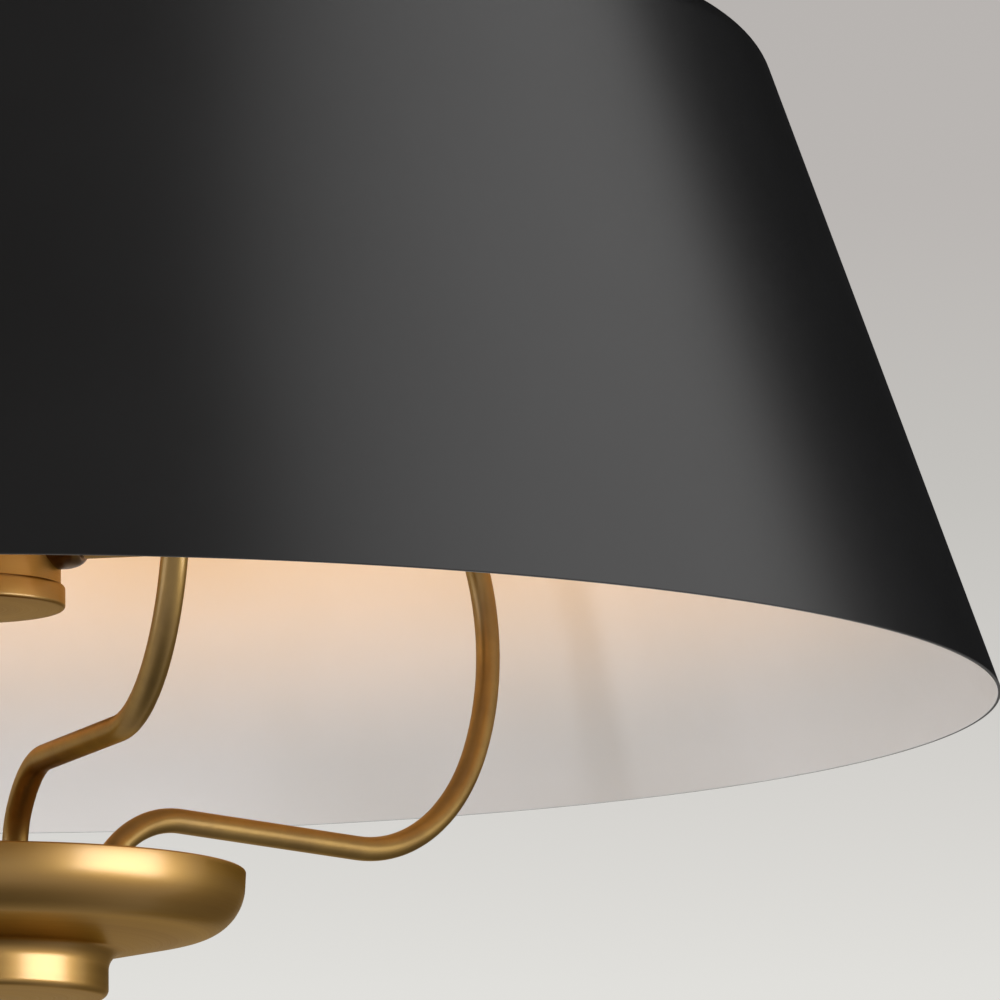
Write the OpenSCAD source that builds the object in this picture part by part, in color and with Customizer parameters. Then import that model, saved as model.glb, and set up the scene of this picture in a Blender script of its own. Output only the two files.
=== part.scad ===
// Ceiling lamp: a conical metal shade on a stem, lit by three candle bulbs on a socket hub,
// with three bent rod arms that hang a dish and a turned boss below the shade.
// The origin is on the ceiling, at the centre of the mounting strap. +Z is up, sizes in mm.

/* [Shade] */
// Diameter across the rim
shade_rim_d = 650; // [560:1:760]
// Diameter where the wall and the flat top would meet without the shoulder
shade_top_d = 504; // [440:1:600]
// Height from the rim to the flat top
shade_h = 209; // [190:1:260]
// Outer radius of the rounded shoulder
shade_shoulder_r = 17; // [8:0.5:30]
// Thickness of the sheet metal
shade_t = 1.2; // [0.8:0.1:2]

/* [Arms] */
// Diameter of the arm rod
rod_d = 8; // [6:0.1:10]
// Distance of the arms' foot from the lamp's axis
arm_foot_r = 61; // [54:0.5:66]
// Radius of the tight bend above the foot
foot_bend_r = 18; // [12:0.5:22]
// Turn of the tight bend above the foot
foot_bend_turn = 45; // [35:1:55]
// Radius of the slack bend that follows it
knee_bend_r = 42; // [30:0.5:50]
// Length of the straight run outwards
arm_run = 83.5; // [60:0.5:95]
// Fall of the straight run below level
arm_run_fall = 1.3; // [0:0.1:3]
// Depth of the run's inner end below the shade's rim
arm_run_depth = 27; // [20:0.5:34]
// Radius of the outer bend
outer_bend_r = 62; // [50:0.5:70]
// Steepness at the end of the outer bend
outer_bend_end = 66; // [60:1:75]
// Radius of the sweep back to the centre
top_bend_r = 83; // [74:0.5:90]

/* [Dish] */
// Diameter across the dish's rim
dish_d = 176; // [160:1:200]
// Depth of the dish's rim below the shade's rim
dish_rim_depth = 51.5; // [46:0.5:58]
// Depth of the dish from rim to bottom
dish_h = 24.8; // [22:0.1:32]
// Lean of the dish's wall
dish_lean = 2.9; // [0:0.1:8]
// Outer radius where the wall turns into the bottom
dish_corner_r = 16.2; // [8:0.1:18]
// Rise of the bottom from the boss to the corner
dish_rise = 10.8; // [5:0.1:13]
// Thickness of the dish's sheet
dish_t = 1.2; // [0.8:0.1:2]

/* [Boss] */
// Diameter of the turned boss under the dish
boss_d = 89.8; // [70:0.1:100]
// Height of the boss
boss_h = 14.6; // [10:0.1:24]
// Radius of the cove at the boss's top
boss_cove_r = 6; // [3:0.1:8]
// Radius of the boss's lower edge
boss_edge_r = 1.2; // [0.6:0.1:3]
// Wall of the hollow boss
boss_wall = 4; // [3:0.1:6]

/* [Spider in the dish] */
// Thickness of the spider's bars
spider_t = 6; // [5:0.1:8]
// Width of the spider's bars
spider_bar_w = 14; // [11:0.5:18]
// Diameter of the spider's centre
spider_hub_d = 34; // [26:0.5:44]
// Diameter of the eyes that hold the arms
spider_eye_d = 17; // [14:0.5:20]

/* [Arm hub] */
// Diameter of the hub that the arms screw into
arm_hub_d = 44; // [38:0.5:60]
// Height of the arm hub
arm_hub_h = 34; // [26:0.5:44]
// Rounding of the arm hub's edges
arm_hub_edge_r = 4; // [2:0.1:6]
// Depth that an arm's end goes into the hub
arm_seat = 8; // [6:0.5:12]

/* [Socket hub] */
// Diameter of the socket hub's cup
hub_d = 60.4; // [52:0.1:72]
// Height of the socket hub's cup
hub_h = 43; // [40:0.5:60]
// Wall of the cup
hub_wall = 1.6; // [1.2:0.1:3]
// Diameter of the cap that closes the cup
hub_cap_d = 63.2; // [62:0.1:76]
// Height of the cap
hub_cap_h = 7.4; // [6:0.1:10]
// Rounding of the cap's edges
hub_cap_edge_r = 1.2; // [0.6:0.1:2.5]
// Height of the cap's underside above the shade's rim
hub_cap_rise = 31.9; // [26:0.1:40]

/* [Sockets] */
// Height of the socket axis above the cup's lower edge
socket_rise = 19.3; // [18:0.1:24]
// Diameter of the collar against the cup
collar_d = 30; // [27:0.1:34]
// Length of the collar
collar_l = 8.2; // [6:0.1:14]
// Length of the collar's straight part, next to the cup
collar_flat = 2; // [1:0.1:4]
// Outside diameter of the husk
husk_d = 24; // [22:0.1:25.6]
// Length of the husk
husk_l = 52; // [46:0.5:60]
// Wall of the husk
husk_wall = 0.9; // [0.6:0.1:1.2]

/* [Bulbs] */
// Diameter of the screw base
base_d = 13.5; // [11.6:0.1:14]
// Length of the screw base
base_l = 30; // [26:0.5:34]
// Largest diameter of the glass
glass_d = 32; // [28:0.5:36]
// Length of the glass
glass_l = 74; // [62:0.5:84]
// Thickness of the glass
glass_t = 0.9; // [0.6:0.1:1.5]

/* [Stem] */
// Outside diameter of the stem
stem_d = 13; // [12.6:0.1:16]
// Length of the stem that shows
stem_l = 150; // [100:1:600]
// Diameter of the threaded tubes
thread_d = 10; // [9:0.1:10.4]
// Bore of the threaded tubes
wire_bore_d = 7; // [5:0.1:7.4]
// Diameter of the sleeves on the column
sleeve_d = 16; // [14:0.1:20]
// Diameter of the cap that holds the shade
shade_cap_d = 62; // [50:0.5:80]
// Height of that cap
shade_cap_h = 26; // [20:0.5:36]

/* [Swivel] */
// Diameter of the swivel's yoke
yoke_d = 17; // [15:0.1:20]
// Width of the yoke's slot
yoke_slot = 6.6; // [6:0.1:8]
// Diameter of the swivel's pin
pin_d = 5; // [4:0.1:6]
// Diameter of the collar on the stem's upper end
tongue_collar_d = 19; // [17.5:0.1:22]

/* [Canopy and strap] */
// Diameter of the canopy
canopy_d = 128; // [124:1:150]
// Height of the canopy
canopy_h = 30; // [28:0.5:40]
// Outer radius of the canopy's shoulder
canopy_shoulder_r = 8; // [4:0.5:9]
// Thickness of the canopy's sheet
canopy_t = 1; // [0.8:0.1:1.6]
// Length of the mounting strap
strap_l = 116; // [113:0.5:118]
// Width of the mounting strap
strap_w = 22; // [18:0.5:26]
// Thickness of the mounting strap
strap_t = 2; // [1.5:0.1:3]
// Length of the strap's dropped middle
strap_pad_l = 40; // [36:0.5:42]
// Drop of the strap's middle below its ends
strap_drop = 12; // [10:0.5:14]
// Distance between the centres of the box screw slots
slot_spacing = 79.4; // [78:0.1:81]
// Length of a slot from end to end
slot_l = 14.4; // [12:0.1:15]
// Width of a slot
slot_w = 4.8; // [4.2:0.1:5.4]
// Distance between the canopy's studs
stud_spacing = 102; // [101:0.5:104]
// Diameter of the canopy's studs
stud_d = 4; // [3:0.1:4.2]

/* [Hidden] */
$fn = 96;

// Gap on the radius between a threaded tube or pin and its bore
fit_gap = 0.05;
// Gap between flat faces that move past each other
side_gap = 0.3;
// Gap between a cup's lip and what it slips over
slip_gap = 0.15;
// Overlap that makes a cut run past a face
past = 1;

arm_angles = [-90, 30, 150];
socket_angles = [for (a = arm_angles) a + 60];
arc_steps = 8;
rod_sides = 16;
// Largest turn between two stations of a bend
bend_facet = 8;

// Nuts
locknut_d = 16;
locknut_h = 4;
eye_nut_d = 14;
eye_nut_h = 5;
// Straight rod between a foot nut and the first bend
eye_nut_free = 1;
hex_sides = 6;
check_ring_wall = 3;
check_ring_d = rod_d + 2 * check_ring_wall;
check_ring_h = 5;
ball_nut_d = 9;
ball_nut_neck_d = 6.4;
ball_nut_neck_h = 2;
// Depth that the ball's crown runs into its neck
ball_nut_sink = 0.6;
// Length of a stud inside its ball nut, below the neck
ball_nut_grip = 3;
cap_nut_d = 16;

// Strap
strap_leg_run = 6;
ground_inset = 5;
ground_x = -strap_pad_l / 2 + ground_inset;
ground_head_d = 7;
ground_head_h = 2.4;
// Length of the screw that stands out above the strap
ground_out = 2;

// Heights down the canopy and the swivel
pad_top_z = -strap_drop;
pad_bottom_z = pad_top_z - strap_t;
canopy_bottom_z = -canopy_h;
stud_bottom_z = canopy_bottom_z - ball_nut_neck_h - ball_nut_grip;
yoke_flange_h = 4;
yoke_flange_step = 3;
yoke_flange_d = yoke_d + 2 * yoke_flange_step;
nipple_grip = 11;
yoke_roof = 4;
tongue_inset = 1.5;
tongue_r = yoke_d / 2 - tongue_inset;
tongue_t = yoke_slot - 2 * side_gap;
slot_top_z = canopy_bottom_z - nipple_grip - yoke_roof;
pivot_z = slot_top_z - tongue_r - 2 * side_gap;
// Length of the tongue that shows between the yoke and the collar
tongue_free = 7.5;
tongue_reach = yoke_d / 2 + tongue_free;
tongue_collar_top_z = pivot_z - tongue_reach;
tongue_collar_roof = 4;
tongue_collar_h = 18;
stem_top_z = tongue_collar_top_z - tongue_collar_roof;
tongue_collar_bottom_z = tongue_collar_top_z - tongue_collar_h;
nipple_out = 2;
nipple_top_z = pad_top_z + locknut_h + nipple_out;
nipple_bottom_z = canopy_bottom_z - nipple_grip;
pin_head_step = 1.3;
pin_head_d = pin_d + 2 * pin_head_step;
pin_head_h = 1.6;

// Heights down the lamp
stem_seat = 10;
shade_cap_top_z = tongue_collar_bottom_z - stem_l;
stem_bottom_z = shade_cap_top_z - stem_seat;
washer_t = 1.5;
washer_inset = 2;
shade_top_z = shade_cap_top_z - shade_cap_h - washer_t;
rim_z = shade_top_z - shade_h;
cap_foot_h = 3;
cap_neck_wall = 3;
cap_neck_h = 3;
cap_step = 2;
cap_chamfer = 1;
clamp_nut_h = 8;
clamp_nut_d = 40;
clamp_nut_z = shade_top_z - shade_t - clamp_nut_h;

// Slope of the shade's wall from the vertical
shade_lean = atan((shade_rim_d - shade_top_d) / 2 / shade_h);

// The arm as a walk: each step is a straight length, or a bend of a radius and a turn
function bend_rise(r, from, to) = r * (cos(to) - cos(from));
function bend_reach(r, from, to) = r * (sin(from) - sin(to));
knee_start = 90 - foot_bend_turn;
knee_turn = knee_start + arm_run_fall;
bends_rise = foot_bend_r * sin(foot_bend_turn) + bend_rise(knee_bend_r, knee_start, -arm_run_fall);
arm_bend_z = rim_z - arm_run_depth - bends_rise;
spider_top_z = arm_bend_z - eye_nut_h - eye_nut_free;
spider_bottom_z = spider_top_z - spider_t;
arm_bottom_z = spider_bottom_z;
outer_turn = outer_bend_end + arm_run_fall;
arm_out_r = arm_foot_r + foot_bend_r * (1 - cos(foot_bend_turn))
    + bend_reach(knee_bend_r, knee_start, -arm_run_fall) + arm_run * cos(arm_run_fall)
    + outer_bend_r * (sin(outer_bend_end) + sin(arm_run_fall));
arm_top_r = arm_out_r - top_bend_r * sin(outer_bend_end);
arm_top_z = rim_z - arm_run_depth - arm_run * sin(arm_run_fall)
    + outer_bend_r * (cos(arm_run_fall) - cos(outer_bend_end))
    + top_bend_r * (1 + cos(outer_bend_end));
arm_end_r = arm_hub_d / 2 - arm_seat;
arm_walk = [
    [0, arm_bend_z - arm_bottom_z],
    [foot_bend_r, -foot_bend_turn],
    [knee_bend_r, -knee_turn],
    [0, arm_run],
    [outer_bend_r, outer_turn],
    [top_bend_r, 180 - outer_bend_end],
    [0, arm_top_r - arm_end_r],
];

// Heights of the hubs
arm_hub_top_z = arm_top_z + arm_hub_h / 2;
arm_hub_bottom_z = arm_top_z - arm_hub_h / 2;
hub_cap_bottom_z = rim_z + hub_cap_rise;
hub_cap_top_z = hub_cap_bottom_z + hub_cap_h;
hub_top_z = hub_cap_top_z + hub_h;
socket_z = hub_cap_top_z + socket_rise;
hub_nut_h = 6;
hub_nut_d = 18;
cap_floor_t = 1.6;
column_bottom_z = hub_cap_bottom_z - cap_nut_d / 4;
hub_lip_h = 4;

// Distances along a socket's axis
collar_start = hub_d / 2;
husk_start = collar_start + collar_l;
husk_end = husk_start + husk_l;
// Depth of the lampholder's face inside the husk's lip
holder_back = 2;
holder_end = husk_end - holder_back;
holder_d = husk_d - 2 * husk_wall - 2 * slip_gap;
holder_floor = 3;
holder_l = holder_end - husk_start - husk_wall;
// Length of a bulb's base that stands out of the husk
base_out = 1.5;
base_end = husk_end + base_out;
base_start = base_end - base_l;
base_wall = 1;
base_contact_d = 6;
base_cone_h = 4;
base_cone_edge = 1;
base_cone_step = 1.5;
glass_neck_r = base_d / 2 - base_wall - fit_gap;
// Where the glass is widest, as a part of its length
glass_belly = 0.42;
socket_nut_d = 15;
socket_nut_h = 3;
// Length of a lampholder's tail past its nut
tail_out = 2;
tail_start = hub_d / 2 - hub_wall - socket_nut_h - tail_out;

// Dish and boss
dish_rim_z = rim_z - dish_rim_depth;
dish_bottom_z = dish_rim_z - dish_h;
dish_flat_r = boss_d / 2 + boss_cove_r;
dish_floor_z = dish_bottom_z + dish_t;
boss_bottom_z = dish_bottom_z - boss_h;
boss_post_d = 24;
// Thickness of the thin edge that the cove leaves against the dish
boss_land = 0.3;
dish_nipple_grip = 9;

brass = "#8a6a36";
dark_brass = "#4d3a22";
black_paint = "#262626";
zinc = "#b4b6b8";
ground_green = "#3f7a4a";
white_glass = "#fff4e0";
phenolic = "#2b2622";

// Points of an arc about a centre
function arc(centre, r, from, to) = [
    for (i = [0 : arc_steps]) let (a = from + (to - from) * i / arc_steps)
        centre + r * [cos(a), sin(a)]
];

// Round washer, sleeve or tube between two heights
module tube(outer_d, inner_d, low_z, high_z) {
    translate([0, 0, low_z])
        difference() {
            cylinder(d = outer_d, h = high_z - low_z);
            translate([0, 0, -past]) cylinder(d = inner_d, h = high_z - low_z + 2 * past);
        }
}

// Hexagon nut with a plain bore, standing on a height
module hex_nut(across_corners, bore_d, low_z, h) {
    translate([0, 0, low_z])
        difference() {
            cylinder(d = across_corners, h = h, $fn = hex_sides);
            translate([0, 0, -past]) cylinder(d = bore_d, h = h + 2 * past);
        }
}

// Puts children that run along +Z on the axis of a socket
module on_socket(i) {
    translate([0, 0, socket_z]) rotate([0, 0, socket_angles[i]]) rotate([0, 90, 0]) children();
}

// Outer or inner skin of the shade as a half section, set in from the outside by a sheet
module shade_section(inset_t) {
    slope_in = inset_t / cos(shade_lean);
    rim_r = shade_rim_d / 2 - slope_in;
    top_z = shade_h - inset_t;
    top_r = shade_top_d / 2 - slope_in + inset_t * tan(shade_lean);
    r = shade_shoulder_r - inset_t;
    back = r * tan((90 - shade_lean) / 2);
    polygon(concat(
        [[0, inset_t > 0 ? -past : 0]],
        [[rim_r + (inset_t > 0 ? past * tan(shade_lean) : 0), inset_t > 0 ? -past : 0]],
        arc([top_r - back, top_z - r], r, shade_lean, 90),
        [[0, top_z]]
    ));
}

module shade() {
    color(black_paint)
        translate([0, 0, rim_z])
            difference() {
                rotate_extrude() shade_section(0);
                rotate_extrude() shade_section(shade_t);
                cylinder(d = thread_d + 2 * fit_gap, h = shade_h + past);
            }
}

// Turned cap over the shade: a flat foot, a cove and a neck that takes the stem
module shade_cap() {
    foot_r = shade_cap_d / 2;
    neck_r = stem_d / 2 + cap_neck_wall;
    cove_h = shade_cap_h - cap_foot_h - cap_neck_h;
    cove_w = foot_r - neck_r - cap_step;
    color(brass)
        translate([0, 0, shade_cap_top_z - shade_cap_h])
            difference() {
                rotate_extrude()
                    polygon(concat(
                        [[0, 0], [foot_r, 0], [foot_r, cap_foot_h]],
                        [for (i = [0 : arc_steps]) let (a = 90 * i / arc_steps)
                            [neck_r + cove_w * (1 - sin(a)), cap_foot_h + cove_h * (1 - cos(a))]],
                        [[neck_r, shade_cap_h - cap_chamfer], [neck_r - cap_chamfer, shade_cap_h],
                            [0, shade_cap_h]]
                    ));
                translate([0, 0, -past]) cylinder(d = thread_d + 2 * fit_gap, h = shade_cap_h + past);
                translate([0, 0, shade_cap_h - stem_seat])
                    cylinder(d = stem_d + 2 * fit_gap, h = stem_seat + past);
            }
}

module shade_washer() {
    color(phenolic)
        tube(shade_cap_d - 2 * washer_inset, thread_d + 2 * fit_gap, shade_top_z,
            shade_top_z + washer_t);
}

module shade_clamp_nut() {
    color(brass) tube(clamp_nut_d, thread_d + 2 * fit_gap, clamp_nut_z, clamp_nut_z + clamp_nut_h);
}

module stem() {
    color(brass) tube(stem_d, thread_d + 2 * fit_gap, stem_bottom_z, stem_top_z);
}

module column_tube() {
    color(zinc) tube(thread_d, wire_bore_d, column_bottom_z, stem_bottom_z + 2 * stem_seat);
}

module upper_sleeve() {
    color(brass) tube(sleeve_d, thread_d + 2 * fit_gap, arm_hub_top_z, clamp_nut_z);
}

module lower_sleeve() {
    color(brass) tube(sleeve_d, thread_d + 2 * fit_gap, hub_top_z, arm_hub_bottom_z);
}

// Turned hub with rounded edges and a seat for each arm's end
module arm_hub() {
    r = arm_hub_d / 2;
    e = arm_hub_edge_r;
    color(brass)
        difference() {
            translate([0, 0, arm_hub_bottom_z])
                rotate_extrude()
                    polygon(concat(
                        [[0, 0]],
                        arc([r - e, e], e, -90, 0),
                        arc([r - e, arm_hub_h - e], e, 0, 90),
                        [[0, arm_hub_h]]
                    ));
            translate([0, 0, arm_hub_bottom_z - past])
                cylinder(d = thread_d + 2 * fit_gap, h = arm_hub_h + 2 * past);
            for (a = arm_angles)
                rotate([0, 0, a]) translate([arm_end_r, 0, arm_top_z]) rotate([0, 90, 0])
                    cylinder(d = rod_d + 2 * fit_gap, h = arm_hub_d);
        }
}

// Stations along one step of a walk, each a point and a heading
function step_stations(step, at, heading) =
    step[0] == 0
    ? [[at + step[1] * [cos(heading), sin(heading)], heading]]
    : let (
        side = sign(step[1]),
        centre = at + side * step[0] * [-sin(heading), cos(heading)],
        n = ceil(abs(step[1]) / bend_facet)
    ) [for (k = [1 : n]) let (h = heading + step[1] * k / n)
        [centre + side * step[0] * [sin(h), -cos(h)], h]];

// Stations along all the steps of a walk
function walk_stations(steps, at, heading, i = 0) =
    i == len(steps) ? [] : let (
        here = step_stations(steps[i], at, heading),
        last = here[len(here) - 1]
    ) concat(here, walk_stations(steps, last[0], last[1], i + 1));

// Round rod swept along a walk that lies in the XZ plane
module walk_rod(steps, at, heading) {
    stations = concat([[at, heading]], walk_stations(steps, at, heading));
    n = rod_sides;
    last = len(stations) - 1;
    points = [for (s = stations) for (j = [0 : n - 1])
        let (up = rod_d / 2 * cos(360 * j / n), across = rod_d / 2 * sin(360 * j / n))
            [s[0][0] - up * sin(s[1]), across, s[0][1] + up * cos(s[1])]];
    sides = [for (k = [0 : last - 1]) for (j = [0 : n - 1])
        let (a = k * n + j, b = k * n + (j + 1) % n)
            each [[a, b, b + n], [a, b + n, a + n]]];
    foot = [[for (j = [n - 1 : -1 : 0]) j]];
    end = [[for (j = [0 : n - 1]) last * n + j]];
    polyhedron(points, concat(foot, sides, end), convexity = 6);
}

// One arm: up from the dish, out over its rim, up inside the shade and back to the hub
module arm(i) {
    color(brass)
        rotate([0, 0, arm_angles[i]]) walk_rod(arm_walk, [arm_foot_r, arm_bottom_z], 90);
}

// Rings that lock the arms against the hub
module arm_check_rings() {
    color(brass)
        for (a = arm_angles)
            rotate([0, 0, a]) translate([0, 0, arm_top_z]) rotate([0, 90, 0])
                tube(check_ring_d, rod_d + 2 * fit_gap, arm_hub_d / 2, arm_hub_d / 2 + check_ring_h);
}

// Drawn cup, open below, with a hole for each socket
module socket_hub() {
    color(brass)
        difference() {
            translate([0, 0, hub_cap_top_z - hub_lip_h]) cylinder(d = hub_d, h = hub_h + hub_lip_h);
            translate([0, 0, hub_cap_top_z - hub_lip_h - past])
                cylinder(d = hub_d - 2 * hub_wall, h = hub_h + hub_lip_h - hub_wall + past);
            cylinder_from(hub_top_z - hub_wall - past, hub_wall + 2 * past, thread_d + 2 * fit_gap);
            for (i = [0 : 2])
                on_socket(i) cylinder(d = thread_d + 2 * fit_gap, h = hub_d);
        }
}

// Upright cylinder from a height
module cylinder_from(low_z, h, d) {
    translate([0, 0, low_z]) cylinder(d = d, h = h);
}

module hub_nut() {
    color(zinc)
        hex_nut(hub_nut_d, thread_d + 2 * fit_gap, hub_top_z - hub_wall - hub_nut_h, hub_nut_h);
}

// Cap with rounded edges that slips over the cup's lower lip
module hub_cap() {
    r = hub_cap_d / 2;
    e = hub_cap_edge_r;
    color(brass)
        translate([0, 0, hub_cap_bottom_z])
            difference() {
                rotate_extrude()
                    polygon(concat(
                        [[0, 0]],
                        arc([r - e, e], e, -90, 0),
                        arc([r - e, hub_cap_h - e], e, 0, 90),
                        [[0, hub_cap_h]]
                    ));
                translate([0, 0, hub_cap_h - hub_lip_h])
                    cylinder(d = hub_d + 2 * fit_gap, h = hub_lip_h + past);
                translate([0, 0, cap_floor_t])
                    cylinder(d = hub_d - 2 * hub_wall, h = hub_cap_h);
                translate([0, 0, -past]) cylinder(d = thread_d + 2 * fit_gap, h = hub_cap_h);
            }
}

// Domed nut on the column's end, under the cap
module hub_cap_nut() {
    color(brass)
        difference() {
            translate([0, 0, hub_cap_bottom_z])
                rotate_extrude()
                    polygon(concat([[0, 0]], arc([0, 0], cap_nut_d / 2, 0, -90)));
            cylinder_from(column_bottom_z, cap_nut_d, thread_d + 2 * fit_gap);
        }
}

// Turned collar between the cup and a husk, hollowed to follow the cup's wall
module socket_collar(i) {
    r = collar_d / 2;
    step = r - husk_d / 2;
    back = collar_l + collar_start;
    round_l = collar_l - collar_flat;
    color(dark_brass)
        difference() {
            on_socket(i)
                rotate_extrude()
                    polygon(concat(
                        [[0, 0], [r, 0]],
                        [for (k = [0 : arc_steps]) let (a = 90 * k / arc_steps)
                            [r - step * (1 - cos(a)), back - round_l * (1 - sin(a))]],
                        [[0, back]]
                    ));
            cylinder_from(socket_z - collar_d, 2 * collar_d, hub_d + 2 * fit_gap);
            on_socket(i) cylinder(d = thread_d + 2 * fit_gap, h = back + past);
        }
}

// Husk: a drawn cup with a rolled lip, around the lampholder
module socket_husk(i) {
    color(brass)
        on_socket(i)
            difference() {
                cylinder_from(husk_start, husk_l, husk_d);
                cylinder_from(husk_start + husk_wall, husk_l, husk_d - 2 * husk_wall);
                cylinder_from(husk_start - past, 2 * past + husk_wall, thread_d + 2 * fit_gap);
            }
}

// Lampholder: a moulded barrel with a screw bore, on a threaded tail into the hub
module lampholder(i) {
    barrel = husk_start + husk_wall;
    color(phenolic)
        on_socket(i)
            difference() {
                union() {
                    cylinder_from(barrel, holder_l, holder_d);
                    cylinder_from(tail_start, barrel - tail_start + past, thread_d);
                }
                cylinder_from(base_start - side_gap, base_l, base_d + 2 * fit_gap);
                cylinder_from(tail_start - past, barrel + holder_floor - tail_start + past, wire_bore_d);
            }
}

// Nuts on the lampholders' tails, inside the cup
module socket_nuts() {
    nut_end = sqrt(pow(hub_d / 2 - hub_wall, 2) - pow(socket_nut_d / 2, 2)) - fit_gap;
    color(zinc)
        for (i = [0 : 2])
            on_socket(i) tube(socket_nut_d, thread_d + 2 * fit_gap, nut_end - socket_nut_h, nut_end);
}

// Screw base of a bulb: shell, insulator and contact
module bulb_base(i) {
    r = base_d / 2;
    color(zinc)
        on_socket(i)
            translate([0, 0, base_start])
                rotate_extrude()
                    polygon([
                        [0, 0], [base_contact_d / 2, 0], [r - base_cone_step, base_cone_h - base_cone_edge],
                        [r, base_cone_h],
                        [r, base_l], [r - base_wall, base_l], [r - base_wall, base_cone_h + base_wall],
                        [0, base_cone_h + base_wall],
                    ]);
}

// Radius of the candle glass along its length, from 0 at the base to 1 at the tip:
// it swells from the neck to the belly, then closes in a blunt point
function candle_r(t) = t < glass_belly
    ? glass_neck_r + (glass_d / 2 - glass_neck_r) * (1 - cos(180 * t / glass_belly)) / 2
    : glass_d / 2 * pow(cos(90 * (t - glass_belly) / (1 - glass_belly)), 0.85);

// Candle glass: a thin shell, open at its neck inside the base
module bulb_glass(i) {
    steps = 28;
    neck_in = 6;
    outer = [for (k = [0 : steps]) let (t = k / steps) [candle_r(t), t * glass_l]];
    inner = [for (k = [steps : -1 : 0]) let (t = k / steps)
        [max(0, candle_r(t) - glass_t), t * (glass_l - glass_t)]];
    color(white_glass)
        on_socket(i)
            translate([0, 0, base_end])
                rotate_extrude()
                    polygon(concat([[glass_neck_r, -neck_in]], outer, inner,
                        [[glass_neck_r - glass_t, -neck_in]]));
}

// Half section of the dish's skin, set in from the outside by a sheet
module dish_section(inset_t) {
    rim_r = dish_d / 2 - inset_t / cos(dish_lean);
    lip = inset_t > 0 ? past : 0;
    floor_z = inset_t;
    rise_z = floor_z - dish_flat_r * tan(dish_rise) + inset_t * (1 / cos(dish_rise) - 1);
    corner_r = dish_corner_r - inset_t;
    // Centre of the corner: a radius away from both the leaning wall and the rising bottom
    wall_c = rim_r - (dish_h * tan(dish_lean)) - corner_r / cos(dish_lean);
    bottom_c = rise_z + corner_r / cos(dish_rise);
    centre_r = (wall_c + bottom_c * tan(dish_lean)) / (1 - tan(dish_rise) * tan(dish_lean));
    centre = [centre_r, bottom_c + centre_r * tan(dish_rise)];
    flat_r = (floor_z - rise_z) / tan(dish_rise);
    polygon(concat(
        [[0, floor_z], [flat_r, floor_z]],
        arc(centre, corner_r, dish_rise - 90, -dish_lean),
        [[rim_r + lip * tan(dish_lean), dish_h + lip], [0, dish_h + lip]]
    ));
}

module dish() {
    color(brass)
        translate([0, 0, dish_bottom_z])
            difference() {
                rotate_extrude() dish_section(0);
                rotate_extrude() dish_section(dish_t);
                translate([0, 0, -past]) cylinder(d = thread_d + 2 * fit_gap, h = dish_t + 2 * past);
            }
}

// Three-legged spider on the dish's floor, with an eye for each arm
module dish_spider() {
    color(zinc)
        difference() {
            union() {
                cylinder_from(dish_floor_z, spider_top_z - dish_floor_z, spider_hub_d);
                for (a = arm_angles)
                    rotate([0, 0, a]) {
                        translate([0, -spider_bar_w / 2, spider_bottom_z])
                            cube([arm_foot_r, spider_bar_w, spider_t]);
                        translate([arm_foot_r, 0, spider_bottom_z]) cylinder(d = spider_eye_d, h = spider_t);
                    }
            }
            for (a = arm_angles)
                rotate([0, 0, a]) translate([arm_foot_r, 0, spider_bottom_z - past])
                    cylinder(d = rod_d + 2 * fit_gap, h = spider_t + 2 * past);
            cylinder_from(dish_floor_z - past, dish_nipple_grip + past, thread_d + 2 * fit_gap);
        }
}

// Nuts that lock the arms' feet on the spider's eyes
module arm_foot_nuts() {
    color(zinc)
        for (a = arm_angles)
            rotate([0, 0, a]) translate([arm_foot_r, 0, 0])
                hex_nut(eye_nut_d, rod_d + 2 * fit_gap, spider_top_z, eye_nut_h);
}

module dish_nipple() {
    color(zinc)
        cylinder_from(boss_bottom_z + boss_wall, dish_floor_z + dish_nipple_grip - boss_bottom_z - boss_wall,
            thread_d);
}

// Hollow turned boss with a cove at the top, a rounded lower edge and a threaded post
module boss() {
    r = boss_d / 2;
    e = boss_edge_r;
    c = boss_cove_r;
    color(brass)
        translate([0, 0, boss_bottom_z])
            difference() {
                rotate_extrude()
                    polygon(concat(
                        [[0, 0]],
                        arc([r - e, e], e, -90, 0),
                        arc([r + c, boss_h - boss_land - c], c, 180, 90),
                        [[r + c, boss_h], [0, boss_h]]
                    ));
                difference() {
                    translate([0, 0, boss_wall]) cylinder(d = boss_d - 2 * boss_wall, h = boss_h);
                    cylinder(d = boss_post_d, h = boss_h);
                }
                translate([0, 0, boss_wall]) cylinder(d = thread_d + 2 * fit_gap, h = boss_h);
            }
}

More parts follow.
